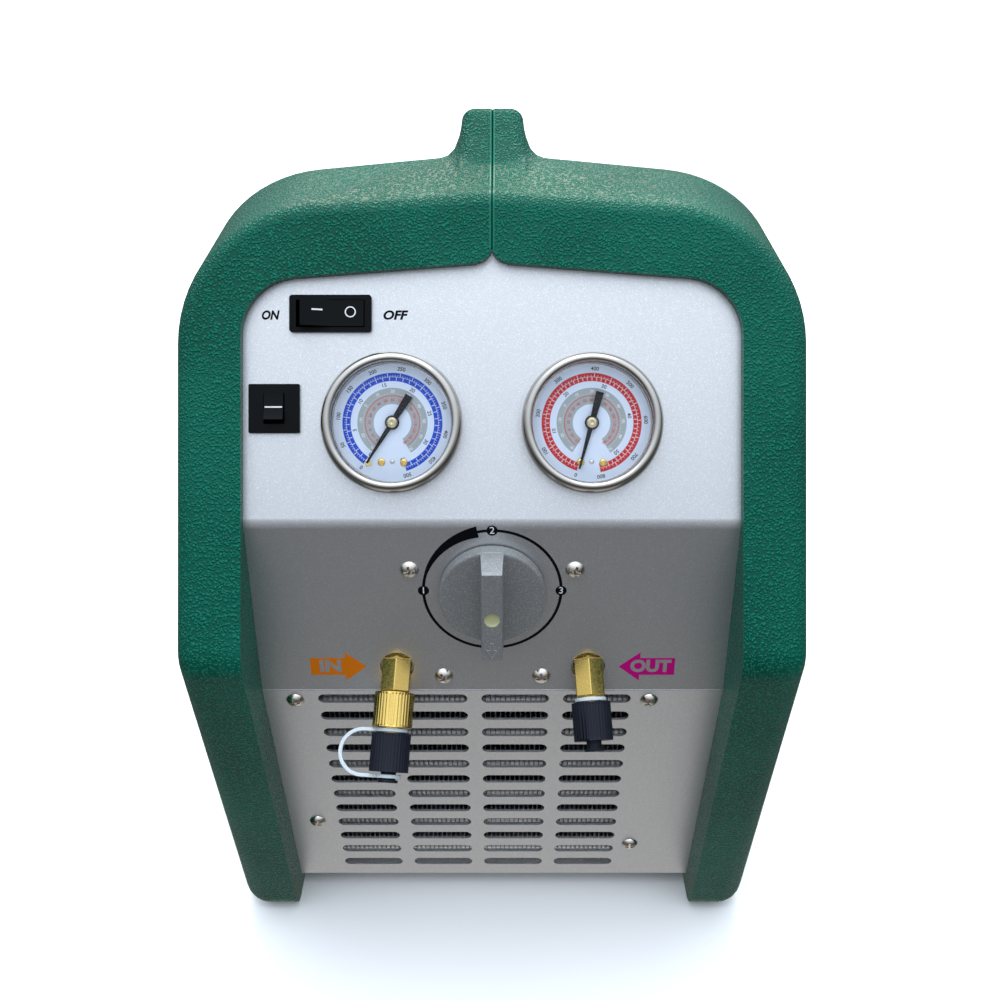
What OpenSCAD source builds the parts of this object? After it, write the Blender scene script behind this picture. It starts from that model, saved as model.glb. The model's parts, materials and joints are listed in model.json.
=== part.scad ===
// Portable refrigerant recovery machine. Two moulded shell halves hold a bent front panel,
// a condenser grille and a rear panel. Behind them sit the selector valve with its two ports,
// two gauges, a finned condenser with a fan, and an oil-less piston compressor.
// X runs to the right, Y to the back and Z up. The origin is on the floor below the middle.

/* [Case] */
// Width over both shell halves
case_w = 254; // [244:1:270]
// Length from the front nose to the rear nose
case_l = 400; // [390:1:430]
// Height of the nose line above the floor
nose_z = 190; // [180:1:200]
// Backward tilt of the front and rear faces, in degrees
face_tilt = 28; // [25:0.5:30]
// Length of the front face from the nose up to its top edge
face_len = 193; // [188:1:200]
// Length of the rear face from the nose up to its top edge
rear_len = 141; // [136:1:146]
// Length over the feet at the floor
foot_l = 294; // [285:1:305]
// Width of the rim beside the panels
rim_w = 27; // [23:0.5:28]
// Height of the rim above the panels, at the seam
rim_top = 31; // [28:0.5:34]
// Fall of the top edge from the seam to the sides, in degrees
crown_fall = 3.7; // [2:0.1:5]
// Rise of an arch's top along the seam, from its outer edge to the hand recess
crown_rise = 2.7; // [0:0.1:4]
// Radius of the two top corners
corner_r = 58; // [50:1:64]
// Radius of the inner corners of the opening
opening_r = 23; // [15:1:30]
// Radius along the outer edges
edge_r = 9; // [6:0.5:11]
// Radius of the nose line
nose_r = 18; // [14:1:32]
// Radius around the feet
foot_r = 13; // [10:0.5:15]
// Thickness of the moulded walls
wall = 5; // [4:0.5:6]
// Gap along the seam between the halves
seam_gap = 0.2; // [0.1:0.1:0.5]
// Radius where the seam meets the opening
seam_r = 6; // [3:0.5:9]

/* [Handle] */
// Length of the hand recess between the front and rear arches
valley_l = 112; // [104:1:118]
// Height of the floor of the hand recess at its front end
valley_z = 325; // [318:1:328]
// Radius along the sides of the hand recess floor
valley_r = 40; // [25:1:48]
// Finger gap below the handle bar
finger_gap = 29; // [25:0.5:31]
// Height of the top of the handle bar at its front end
handle_z = 380; // [374:0.5:386]
// Fall of the handle and the hand recess towards the rear, in degrees
handle_fall = 9.8; // [7:0.2:10]
// Width of the handle bar near its top
handle_w = 26.5; // [24:0.5:30]
// Width added on each side towards the underside of the bar
handle_flare = 2.2; // [1:0.1:4]
// Radius along the handle bar
handle_r = 5.5; // [4:0.5:8]

/* [Panels] */
// Sheet thickness of the panels
panel_t = 1.2; // [0.8:0.1:2]
// Depth of the upper panel behind the face
panel_recess = 5; // [4:0.5:8]
// Length of panel held in the grooves
panel_lap = 3; // [2:0.25:4]
// Height of the upper fold
fold_hi_z = 238.4; // [234:0.2:242]
// Height of the upright middle panel
mid_h = 82.4; // [78:0.2:86]
// Undercut of the grille panel, in degrees
grille_tilt = 14.2; // [12:0.2:15]
// Height of the lower edge of the panels
panel_z = 10; // [7:0.5:13]
// Clearance around a panel in its groove
groove_gap = 0.25; // [0.15:0.05:0.5]

/* [Grille] */
// Number of slot rows
slot_rows = 12; // [8:1:12]
// Number of slot columns
slot_cols = 4; // [2:1:4]
// Length of a slot
slot_l = 29.6; // [24:0.2:32]
// Width of a slot
slot_w = 6; // [4:0.2:7]
// Distance between slot rows
slot_pitch = 12.1; // [11:0.1:12.4]
// Distance between slot columns
slot_step = 35.75; // [33:0.25:38]
// First slot row below the lower fold
slot_start = 6; // [5:0.5:8]
// Sideways place of the slots and the condenser
cond_x = -9; // [-12:0.5:-4]

/* [Gauges] */
// Outer diameter of a gauge bezel
gauge_d = 56.6; // [54:0.2:60]
// Distance between the gauge centres, as a share of the opening's width
gauge_spread = 0.4; // [0.37:0.005:0.43]
// Height of the gauges, as a share of the upper panel in view
gauge_rise = 0.39; // [0.37:0.005:0.42]
// How far a bezel stands out of the panel
gauge_proud = 8.2; // [7.4:0.1:10]
// Width of the bezel lip over the lens
bezel_lip = 4.4; // [3:0.1:5]
// Depth of a gauge case behind the panel
gauge_depth = 28; // [22:1:32]
// Length of a gauge pointer
pointer_l = 19.2; // [16:0.2:21]
// Rest angle of the low side pointer, in degrees
low_rest = 237.6; // [200:0.1:280]
// Rest angle of the high side pointer, in degrees
high_rest = 255; // [200:0.1:280]

/* [Switches] */
// Width of the power switch bezel
switch_w = 32.9; // [31:0.1:36]
// Height of the power switch bezel
switch_h = 14.9; // [14:0.1:17]
// Distance of the power switch from the side of the opening
switch_in = 35.3; // [32:0.1:40]
// Height of the power switch, as a share of the upper panel in view
switch_rise = 0.808; // [0.785:0.001:0.83]
// Tilt of the rockers to each side, in degrees
rocker_tilt = 10; // [6:0.5:11]
// Width of the breaker bezel
breaker_w = 20.5; // [19:0.1:22]
// Height of the breaker bezel
breaker_h = 19.7; // [18.5:0.1:22]
// Distance of the breaker from the side of the opening
breaker_in = 12.7; // [12:0.1:15]
// Height of the breaker, as a share of the upper panel in view
breaker_rise = 0.444; // [0.4:0.002:0.5]

/* [Selector valve] */
// Height of the valve spindle
valve_z = 207; // [205:0.5:209]
// Diameter of the knob
knob_d = 44; // [38:0.5:48]
// Height of the knob skirt
knob_h = 6.5; // [5.5:0.5:8]
// Height of the grip over the panel
grip_h = 20; // [17:0.5:24]
// Width of the grip
grip_w = 9.4; // [7:0.2:12]
// Diameter of the valve spindle
spindle_d = 8; // [6:0.5:10]
// Width of the valve block
block_w = 96; // [94:1:110]
// Depth of the valve block behind the panel
block_l = 38; // [34:1:40]

/* [Ports] */
// Distance between the ports
port_step = 82; // [78:0.5:86]
// Height of the port holes
port_z = 168.5; // [168:0.25:170]
// Diameter of the port holes
port_hole_d = 14.5; // [13.5:0.1:16]
// Downward tilt of the ports, in degrees
port_tilt = 48; // [40:1:52]
// Outward splay of the ports, in degrees
port_splay = 3.5; // [0:0.5:6]
// Width across the flats of the port hexagons
hex_af = 13; // [12:0.1:14]
// Length of the inlet hexagon
inlet_hex_l = 11; // [9.6:0.2:14]
// Length of the outlet hexagon
outlet_hex_l = 13; // [11:0.2:16]
// Length of the filter nut
nut_l = 14.6; // [12:0.2:18]
// Diameter of the filter nut
nut_d = 16.9; // [16:0.1:18]
// Outer diameter of the port thread
flare_d = 11.1; // [10.5:0.1:12]
// Length of a cap
cap_l = 16; // [14:0.2:20]
// Diameter of a cap
cap_d = 16.6; // [16:0.1:18]
// Reach of the strap loop beside the cap
strap_reach = 21; // [17:0.5:26]

/* [Condenser and fan] */
// Depth of the fin pack
fin_l = 16; // [14:1:18]
// Number of fins
fin_count = 62; // [40:1:64]
// Diameter of the condenser tube
tube_d = 9.5; // [7:0.5:10]
// Number of tube passes
tube_rows = 6; // [6:2:6]
// Diameter of the fan
fan_d = 126; // [110:1:130]
// Number of fan blades
fan_blades = 5; // [3:1:7]
// Diameter of the fan motor
fan_motor_d = 48; // [40:1:56]

/* [Compressor] */
// Diameter of the compressor motor
motor_d = 110; // [96:1:116]
// Length of the compressor motor
motor_l = 80; // [70:1:86]
// Diameter of the crankcase
crank_d = 84; // [76:1:92]
// Diameter of the cylinder barrel
barrel_d = 52; // [44:1:58]
// Side of the cylinder head
head_w = 64; // [60:1:72]
// Diameter of the copper lines
line_d = 8; // [6:0.5:9]

/* [Fits] */
// Radial running clearance of pins, spindles and caps
run_gap = 0.08; // [0.02:0.01:0.1]
// Clearance between parts that are set beside each other
set_gap = 0.3; // [0.2:0.05:0.4]
// Diameter of the screw heads
screw_head_d = 8; // [7:0.2:9]
// Diameter of the screw shanks
screw_d = 4; // [3:0.1:4.5]
// Height that the rubber pads stand below the feet
pad_h = 1; // [0.6:0.1:2]
// Diameter of the rubber pads
pad_d = 10; // [8:0.5:11]

/* [Hidden] */

$fn = 64;
hull_fn = 32;
cut = 1;
far = 1000;

// Case
half_w = case_w / 2;
in_w = case_w - 2 * rim_w;
leg_tilt = atan((case_l - foot_l) / 2 / nose_z);
corner_u = half_w - corner_r;
// Places on a face of length l: its round corners, its top edge and its opening
function corner_t(l) = l - corner_u * tan(crown_fall) - corner_r / cos(crown_fall);
function top_z(l) = nose_z + l * cos(face_tilt);
function open_t(l) = l - rim_top;
opening_fall = 4.5;
nose_reach = nose_r / cos((face_tilt + leg_tilt) / 2);
nose_y = -case_l / 2 + nose_reach * cos((face_tilt - leg_tilt) / 2);
nose_c_z = nose_z - nose_reach * sin((face_tilt - leg_tilt) / 2);
foot_y = -foot_l / 2 + foot_r * (1 - sin(leg_tilt)) / cos(leg_tilt);
valley_drop = valley_l * tan(handle_fall);
ceiling_z = valley_z - wall;
recess_back = panel_recess + panel_t + 8;
opening_back = recess_back + 2;
ledge_z = 14;
pocket_lip = 9;
pocket_drop = 16;
function pocket_z(l) = nose_z + corner_t(l) * cos(face_tilt) - pocket_drop;
arch_pocket = [in_w - 40, 34, 26];
arch_wall = 9;
relief_l = 170;
relief_h = 5;
seam_bite = 0.02;
ramp_steps = 5;
ramp_power = 1.8;
ramp_w = handle_w / 2 + handle_flare;
ramp_foot = 4;
ramp_sink = 3;
ramp_in = 11;
ramp_fn = 16;

// A place on the front face: t up the face from the nose, d behind it, as [y, z]
function face_pt(t, d) = [
  -case_l / 2 + t * sin(face_tilt) + d * cos(face_tilt),
  nose_z + t * cos(face_tilt) - d * sin(face_tilt)
];
// The y of the plane at depth d behind the front face, at height z
function face_y(z, d) =
  face_pt((z - nose_z + d * sin(face_tilt)) / cos(face_tilt), d)[0];

// Panels
panel_w = in_w + 2 * panel_lap;
panel_y = face_y(fold_hi_z, panel_recess);
fold_lo_z = fold_hi_z - mid_h;
grille_l = (fold_lo_z - panel_z) / cos(grille_tilt);
function panel_top(l) = face_pt(open_t(l) + 2 * panel_lap, panel_recess);
fold_hi = [panel_y, fold_hi_z];
fold_lo = [panel_y, fold_lo_z];
panel_foot = [panel_y + grille_l * sin(grille_tilt), panel_z];
function panel_path(l) = [panel_top(l), fold_hi, fold_lo, panel_foot];
panel_corner = opening_r + panel_lap;
panel_split = 0.3;
function upper_l(l) = norm(panel_top(l) - fold_hi);
upper_open = open_t(face_len) - (fold_hi_z - nose_z + panel_recess * sin(face_tilt)) / cos(face_tilt);

function left_normal(a, b) = let (d = (b - a) / norm(b - a)) [-d[1], d[0]];
function mitre(p, i) =
  i == 0 ? left_normal(p[0], p[1])
  : i == len(p) - 1 ? left_normal(p[i - 1], p[i])
  : let (m = left_normal(p[i - 1], p[i]), n = left_normal(p[i], p[i + 1])) (m + n) / (1 + m * n);
function shifted(p, t) = [for (i = [0 : len(p) - 1]) p[i] + t * mitre(p, i)];
function reversed(p) = [for (i = [len(p) - 1 : -1 : 0]) p[i]];
function grille_y(z, d) = panel_y + (fold_lo_z - z) * tan(grille_tilt) + d / cos(grille_tilt);

// Grille and condenser
screw_cols = in_w / 2 - 22.45;
screw_left = [7, 102];
screw_right = [7, 122.5];
bracket_t = 1.2;
bracket_web = screw_cols - 7.55;
bracket_flange = 15;
bracket_l = grille_l - 8;
bracket_back = 21;
fin_front = 3;
fin_t = 0.4;
fin_top = 5;
fin_span = 2 * bracket_web - 2;
tube_pitch = 2 * slot_pitch;
tube_first = 15;
tube_depth = fin_front + fin_l / 2;
tube_end = bracket_web + bracket_t + 2;
tube_stub = in_w / 2 - 10;
tube_seat = 0.05;

// Gauges
gauge_r = gauge_d / 2;
gauge_step = in_w * gauge_spread;
gauge_t = upper_open * gauge_rise;
gauge_bore = gauge_r - bezel_lip;
gauge_hole = gauge_r - 3;
gauge_flange = 1.5;
rim_r = gauge_r - 2.6;
rim_z = gauge_proud - 4.2;
lens_t = 2;
dial_t = 0.6;
dial_z = -1;
pointer_z = 0.8;
pointer_t = 0.5;
arbor_r = 1;
arbor_l = 4;
stem_l = 16;
stem_af = 11;

// Switches
switch_u = switch_in - in_w / 2;
switch_t = upper_open * switch_rise;
breaker_u = breaker_in - in_w / 2;
breaker_t = upper_open * breaker_rise;
rocker_l = switch_w - 7.7;
rocker_w = switch_h - 4.5;
switch_window = [switch_w - 5.4, rocker_w + 2 * set_gap];
switch_depth = 22;
switch_proud = 2;
switch_body = [switch_w - 3.4, switch_h - 1.7];
pivot_z = -1;
pin_r = 1.2;
pin_l = 0.8;
rocker_mid = 2.6;
rocker_skirt = -2;
switch_pit = 7;
breaker_window = [8.4, 12.4];
breaker_proud = 1.6;
breaker_depth = 26;
breaker_body = [breaker_w - 3, breaker_h - 2.4];
button_l = breaker_window[1] - 1.6;
button_w = breaker_window[0] - 2 * set_gap;
button_pit = 6;

// Selector valve
knob_gap = 0.8;
knob_r = knob_d / 2;
spindle_r = spindle_d / 2;
spindle_in = 24;
grip_nose = 0.89;
grip_draft = 3;
dimple_in = 1.6;
grip_end = knob_r + 0.8;
dimple_r = 3.3;
block_y = panel_y + panel_t;
block_lo = port_z - 9;
block_hi = valve_z + 22;
valve_screw_hi = [34, valve_z + 10];
valve_screw_lo = [21, port_z - 5];
valve_screw_spots = [
  for (s = [-1, 1], p = [valve_screw_hi, valve_screw_lo]) [s * p[0], p[1]]
];
screw_in = 10;

// Ports
hex_r = hex_af / 2 / cos(30);
stub_r = port_hole_d / 2 - 1;
stub_in = 10;
flare_r = flare_d / 2;
neck_r = flare_r - 1.1;
neck_l = 2.4;
flare_l = 11;
screen_r = 3.6;
flow_r = 2.4;
nut_start = inlet_hex_l + set_gap;
nut_end = nut_start + nut_l;
inlet_cap_start = nut_end + neck_l;
outlet_cap_start = outlet_hex_l + neck_l;
cap_top = 3;
tip_r = 3.2;
tip_l = 4.4;
strap_t = 1.6;
strap_w = 2.2;
tip_ring_z = cap_l + 1;
knurl_count = 36;
knurl_r = 0.35;

// Base, fan and compressor
tray_t = 1.2;
tray_y = 104;
tray_w = in_w + 2 * (rim_w - wall) - 2 * groove_gap;
tray_flange = 18;
tray_top = ledge_z + tray_t;
tray_screw_x = in_w / 2 + 10;
tray_screw_y = 84;
pad_x = in_w / 2 + pad_d / 2 + 0.8;
pad_y = 118;
pad_in = 1.5;
fan_z = 92;
fan_y = -92;
fan_plate = [168, 1.6, 150];
fan_hole_r = fan_d / 2 + 3;
fan_leg = 30;
fan_leg_x = 74;
fan_bar = [8, 2];
fan_hub_r = 18;
fan_hub_l = 14;
fan_shaft_r = 3;
fan_motor_l = 32;
fan_motor_y = fan_y + fan_plate[1] + fan_leg;
blade_t = 1.6;
blade_pitch = 32;
blade_chord = 30;
mount_h = 12;
mount_r = 9;
base_t = 6;
base_size = [130, 116];
base_y = 40;
base_z = tray_top + mount_h;
comp_z = base_z + base_t + motor_d / 2 + 2;
crank_y = -20;
crank_l = 46;
motor_y = crank_y + crank_l;
barrel_y = motor_y - barrel_d / 2 - 2;
barrel_h = 46;
barrel_z = comp_z + crank_d / 2 - 4;
barrel_fins = 6;
head_z = barrel_z + barrel_h;
head_h = 18;
line_r = line_d / 2;
head_port = 18;
line_bend = 2 * line_r;
capillary_r = 1.5;
capillary_sides = 16;
switch_port = [25, valve_z - 2];
pressure_r = 12;
pressure_l = 30;
capacitor_r = 19;
capacitor_h = 70;
capacitor_at = [in_w / 2 - 8, 66];
inlet_at = [60, 200];
inlet_flange = [50, 28];
inlet_mouth = [24.6, 17];
inlet_wall = 1.8;
inlet_depth = 24;
inlet_pin = [2, 4, 11];
inlet_pin_step = 7;

module both_sides() {
  children();
  mirror([1, 0, 0]) children();
}

module front_and_rear() {
  children();
  mirror([0, 1, 0]) children();
}

// Frames: x to the right, y up the sheet, z out of it
module face_frame() translate([0, -case_l / 2, nose_z]) rotate([90 - face_tilt, 0, 0]) children();
module upper_frame() translate([0, panel_y, fold_hi_z]) rotate([90 - face_tilt, 0, 0]) children();
module mid_frame() translate([0, panel_y, 0]) rotate([90, 0, 0]) children();
module grille_frame() translate([0, panel_y, fold_lo_z]) rotate([90 + grille_tilt, 0, 0]) children();
module gauge_frame(side) upper_frame() translate([side * gauge_step / 2, gauge_t, 0]) children();
module switch_frame() upper_frame() translate([switch_u, switch_t, 0]) children();
module breaker_frame() upper_frame() translate([breaker_u, breaker_t, 0]) children();
module valve_frame() mid_frame() translate([0, valve_z, 0]) children();
// z runs out along the port, y up and forward
module port_frame(side)
  translate([side * port_step / 2, panel_y, port_z])
    rotate([90 + port_tilt, 0, 0]) rotate([0, side * port_splay, 0]) children();

// A side profile in y and z, extruded evenly to both sides
module side_extrude(w) rotate([90, 0, 90]) translate([0, 0, -w / 2]) linear_extrude(w) children();
module sheet_strip(path, t0, t1, w)
  side_extrude(w) polygon(concat(shifted(path, t0), reversed(shifted(path, t1))));
module box_at(size, z0, h) translate([-size[0] / 2, -size[1] / 2, z0]) cube([size[0], size[1], h]);

// Shell
module ring(r, t) rotate_extrude($fn = hull_fn * 2) translate([r, 0]) circle(t, $fn = hull_fn * 0.75);
module nose_round()
  translate([half_w - edge_r, nose_y, nose_c_z]) rotate([0, 90, 0]) ring(nose_r - edge_r, edge_r);
module foot_round()
  translate([half_w - foot_r, foot_y, foot_r + pad_h]) sphere(foot_r, $fn = hull_fn);
module valley_round(drop)
  translate([half_w - valley_r, -valley_l / 2, valley_z - drop - valley_r]) rotate([-90, 0, 0])
    cylinder(r = valley_r, h = 1, $fn = hull_fn * 2);

module shell_body() hull() both_sides() {
  front_and_rear() {
    nose_round();
    foot_round();
  }
  valley_round(0);
  mirror([0, 1, 0]) valley_round(valley_drop);
}

module shell_arch(l) hull() both_sides() {
  nose_round();
  face_frame() translate([corner_u, corner_t(l), -edge_r]) ring(corner_r - edge_r, edge_r);
  face_frame() translate([0, l - edge_r, -edge_r]) sphere(edge_r, $fn = hull_fn);
  translate([corner_u, -valley_l / 2 - edge_r, nose_z + corner_t(l) * cos(face_tilt)])
    scale([1, 1, cos(face_tilt)]) rotate([90, 0, 0]) ring(corner_r - edge_r, edge_r);
  translate([0, -valley_l / 2 - edge_r, top_z(l) + crown_rise - edge_r]) sphere(edge_r, $fn = hull_fn);
}

module bar_end(drop) {
  translate([handle_w / 2 - handle_r, -valley_l / 2, handle_z - drop - handle_r]) rotate([90, 0, 0])
    cylinder(r = handle_r, h = 1, $fn = hull_fn);
  translate([handle_w / 2 + handle_flare - handle_r, -valley_l / 2, valley_z - drop + finger_gap + handle_r])
    rotate([90, 0, 0]) cylinder(r = handle_r, h = 1, $fn = hull_fn);
}

module handle_bar() hull() both_sides() {
  bar_end(0);
  mirror([0, 1, 0]) bar_end(valley_drop);
}

// A ramp sweeps up from an arch's outer top edge to the bar, with a fillet along its foot
function ramp_y(l, share) = let (y_out = face_pt(l, 0)[0] + ramp_in) y_out + (-valley_l / 2 - y_out) * share;
function ramp_z(l, drop, share) =
  top_z(l) - ramp_sink + (handle_z - drop - top_z(l) + ramp_sink) * pow(share, ramp_power);
module ramp_station(l, drop, share) {
  w = handle_w / 2 + handle_flare * (1 - pow(share, ramp_power));
  translate([w - handle_r, ramp_y(l, share), ramp_z(l, drop, share) - handle_r])
    sphere(handle_r, $fn = ramp_fn);
  translate([ramp_w - edge_r / 2, ramp_y(l, share), top_z(l) - ramp_sink - edge_r / 2])
    sphere(edge_r / 2, $fn = ramp_fn);
}
module ramp_foot_station(l, drop, share) {
  rise = max(0, min(ramp_foot, (ramp_z(l, drop, share) - top_z(l)) / 2));
  for (p = [[ramp_w + rise, -ramp_sink], [ramp_w - handle_flare, rise]])
    translate([p[0], ramp_y(l, share), top_z(l) + crown_rise / 2 + p[1] - 1]) sphere(1, $fn = ramp_fn);
}
module handle_ramp(l, drop) for (i = [0 : ramp_steps - 1]) {
  hull() both_sides() {
    ramp_station(l, drop, i / ramp_steps);
    ramp_station(l, drop, (i + 1) / ramp_steps);
  }
  hull() both_sides() {
    ramp_foot_station(l, drop, i / ramp_steps);
    ramp_foot_station(l, drop, (i + 1) / ramp_steps);
  }
}

module shell_end(l, drop) {
  shell_arch(l);
  handle_ramp(l, drop);
}

module opening_outline(top) {
  side_u = in_w / 2 - opening_r;
  hull() {
    for (s = [-1, 1]) {
      translate([s * side_u, top - side_u * tan(opening_fall) - opening_r]) circle(opening_r);
      translate([s * (in_w / 2 - 1), -20]) circle(1);
    }
    translate([0, top - 1]) circle(1);
  }
  // The rounded corners beside the seam
  difference() {
    translate([-seam_r - seam_gap / 2, top - seam_r]) square([2 * seam_r + seam_gap, 2 * seam_r]);
    for (s = [-1, 1])
      translate([s * (seam_r + seam_gap / 2 - seam_bite), top + seam_r]) circle(seam_r);
  }
}

module end_cuts(l) {
  face_frame() translate([0, 0, -opening_back]) linear_extrude(opening_back + 20) opening_outline(open_t(l));
  sheet_strip(panel_path(l) + [[0, groove_gap], [0, 0], [0, 0], [0, -groove_gap]],
    -groove_gap, panel_t + groove_gap, panel_w + 2 * groove_gap);
}

function pocket_end(l) = let (lip = panel_t + pocket_lip, inner = shifted(panel_path(l), lip)) [
  [grille_y(ledge_z, lip), ledge_z], inner[2], inner[1],
  [face_y(pocket_z(l), panel_recess + lip), pocket_z(l)]
];
module shell_cuts() {
  end_cuts(face_len);
  mirror([0, 1, 0]) end_cuts(rear_len);
  // The space between the legs, and the room behind the faces
  translate([-in_w / 2, -far / 2, -cut]) cube([in_w, far, nose_z + cut]);
  corner_h = sqrt(pow(corner_r, 2) - pow(in_w / 2 - corner_u, 2));
  rear_corner_z = nose_z + (corner_t(rear_len) + corner_h) * cos(face_tilt);
  rear_ceiling = min(ceiling_z - valley_drop, rear_corner_z - wall);
  side_extrude(in_w) polygon([
    [face_y(nose_z - cut, recess_back), nose_z - cut],
    [face_y(ceiling_z, recess_back), ceiling_z],
    [-valley_l / 2, ceiling_z],
    [valley_l / 2, rear_ceiling],
    [-face_y(rear_ceiling, recess_back), rear_ceiling],
    [-face_y(nose_z - cut, recess_back), nose_z - cut]
  ]);
  translate([-arch_pocket[0] / 2, -valley_l / 2 - arch_wall - arch_pocket[1], ceiling_z - cut])
    cube(arch_pocket);
  // Pockets in the sides
  rear_pocket = reversed(pocket_end(rear_len));
  side_extrude(case_w - 2 * wall)
    polygon(concat(pocket_end(face_len), [for (p = rear_pocket) [-p[0], p[1]]]));
  // Relief between the feet, pad seats and tray screw holes
  side_extrude(far) polygon([
    [-relief_l / 2 - relief_h, -cut], [relief_l / 2 + relief_h, -cut],
    [relief_l / 2, pad_h + relief_h], [-relief_l / 2, pad_h + relief_h]
  ]);
  both_sides() front_and_rear() {
    translate([pad_x, pad_y, -cut]) cylinder(d = pad_d + 2 * groove_gap, h = cut + pad_h + pad_in);
    translate([tray_screw_x, tray_screw_y, ledge_z - screw_in - cut])
      cylinder(d = screw_d + 2 * run_gap, h = screw_in + 2 * cut);
  }
}

module shell_half(side) difference() {
  union() {
    shell_body();
    shell_end(face_len, 0);
    mirror([0, 1, 0]) shell_end(rear_len, valley_drop);
    handle_bar();
  }
  shell_cuts();
  translate([side < 0 ? -seam_gap / 2 : -far + seam_gap / 2, -far / 2, -far / 2]) cube(far);
}

module left_shell() color("seagreen") shell_half(-1);
module right_shell() color("seagreen") shell_half(1);

// Sheet metal
module pan_screw(l) {
  dome_h = screw_head_d * 0.3;
  dome_r = (screw_head_d * screw_head_d / 4 + dome_h * dome_h) / (2 * dome_h);
  intersection() {
    translate([0, 0, dome_h - dome_r]) sphere(dome_r);
    cylinder(d = screw_head_d, h = dome_h + cut);
  }
  translate([0, 0, -l]) cylinder(d = screw_d, h = l + 0.2);
}
module screw_hole(l) translate([0, 0, -l]) cylinder(d = screw_d + 2 * run_gap, h = l + cut);

module panel_corner_cut(l) both_sides()
  translate([panel_w / 2, upper_l(l), -panel_t - cut]) linear_extrude(panel_t + 2 * cut) difference() {
    translate([-panel_corner, -panel_corner]) square(panel_corner + cut);
    translate([-panel_corner, -panel_corner]) circle(panel_corner);
  }

module control_panel() color("silver") difference() {
  sheet_strip([panel_top(face_len), fold_hi, fold_lo + [0, panel_split]], 0, panel_t, panel_w);
  upper_frame() panel_corner_cut(face_len);
  for (s = [-1, 1]) gauge_frame(s) translate([0, 0, -10]) cylinder(r = gauge_hole + set_gap, h = 20);
  switch_frame() box_at(switch_body + [set_gap, set_gap], -10, 20);
  breaker_frame() box_at(breaker_body + [set_gap, set_gap], -10, 20);
  valve_frame() translate([0, 0, -10]) cylinder(r = spindle_r + 2, h = 20);
  mid_frame() for (p = valve_screw_spots) translate(p) screw_hole(10);
  for (s = [-1, 1]) mid_frame() translate([s * port_step / 2, port_z, -10]) cylinder(d = port_hole_d, h = 20);
}

module slot_pattern(x) for (i = [0 : slot_rows - 1], j = [0 : slot_cols - 1])
  translate([x + (j - (slot_cols - 1) / 2) * slot_step, -slot_start - i * slot_pitch]) {
    square([slot_l - slot_w, slot_w], center = true);
    for (s = [-1, 1]) translate([s * (slot_l - slot_w) / 2, 0]) circle(d = slot_w, $fn = 24);
  }

module grille_spots() {
  for (l = screw_left) translate([cond_x - screw_cols, -l, 0]) children();
  for (l = screw_right) translate([cond_x + screw_cols, -l, 0]) children();
}

module grille_panel() color("silver") grille_frame() difference() {
  translate([-panel_w / 2, -grille_l, -panel_t]) cube([panel_w, grille_l, panel_t]);
  translate([0, 0, -10]) linear_extrude(20) slot_pattern(cond_x + 1);
  grille_spots() screw_hole(10);
}

module rear_panel() color("silver") mirror([0, 1, 0]) difference() {
  sheet_strip(panel_path(rear_len), 0, panel_t, panel_w);
  upper_frame() panel_corner_cut(rear_len);
  grille_frame() translate([0, 0, -10]) linear_extrude(20) slot_pattern(0);
  inlet_frame() box_at(inlet_mouth + [2 * inlet_wall + set_gap, 2 * inlet_wall + set_gap], -10, 20);
}

module base_tray() color("darkgray") difference() {
  union() {
    translate([-tray_w / 2, -tray_y, ledge_z]) cube([tray_w, 2 * tray_y, tray_t]);
    front_and_rear() translate([-in_w / 2 + 1, -tray_y, ledge_z]) cube([in_w - 2, tray_t, tray_flange]);
  }
  both_sides() front_and_rear() translate([tray_screw_x, tray_screw_y, tray_top]) screw_hole(tray_t + cut);
}

module tray_screws() color("gray") both_sides() front_and_rear()
  translate([tray_screw_x, tray_screw_y, tray_top]) pan_screw(screw_in);
module valve_screws() color("lightgray") mid_frame()
  for (p = valve_screw_spots) translate(p) pan_screw(screw_in);
module grille_screws() color("lightgray") grille_frame() grille_spots() pan_screw(panel_t + bracket_t + 3);
module rubber_feet() color("dimgray") both_sides() front_and_rear()
  translate([pad_x, pad_y, 0]) cylinder(d = pad_d, h = pad_h + pad_in);

// Power switch and breaker
module rocker_profile(l, mid, skirt) {
  rise = l / 2 * tan(rocker_tilt);
  polygon([
    [-l / 2, mid + rise], [0, mid], [l / 2, mid + rise], [l / 2, skirt], [l / 4, skirt - 1.5],
    [-l / 4, skirt - 1.5], [-l / 2, skirt]
  ]);
}
// A rocker along x on a pin along y, at rest with its right end pressed
module rocker(l, w) translate([0, 0, pivot_z]) rotate([0, rocker_tilt, 0]) translate([0, 0, -pivot_z]) {
  rotate([90, 0, 0]) translate([0, 0, -w / 2]) linear_extrude(w) rocker_profile(l, rocker_mid, rocker_skirt);
  translate([0, 0, pivot_z]) rotate([90, 0, 0]) cylinder(r = pin_r, h = w + 2 * pin_l, center = true);
}
module rocker_seat(window, pit, w) {
  box_at(window, -pit, far);
  translate([0, 0, pivot_z]) rotate([90, 0, 0])
    cylinder(r = pin_r + run_gap, h = w + 2 * pin_l + 2 * set_gap, center = true);
}

module switch_body() color("black") switch_frame() {
  difference() {
    union() {
      box_at([switch_w, switch_h], 0, switch_proud);
      box_at(switch_body, -switch_depth, switch_depth + cut);
    }
    rocker_seat(switch_window, switch_pit, rocker_w);
  }
  for (s = [-1, 1]) translate([s * 8, 0, 0]) box_at([0.8, 6.3], -switch_depth - 8, 8);
}
module switch_rocker() color("black") switch_frame() rocker(rocker_l, rocker_w);

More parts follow.
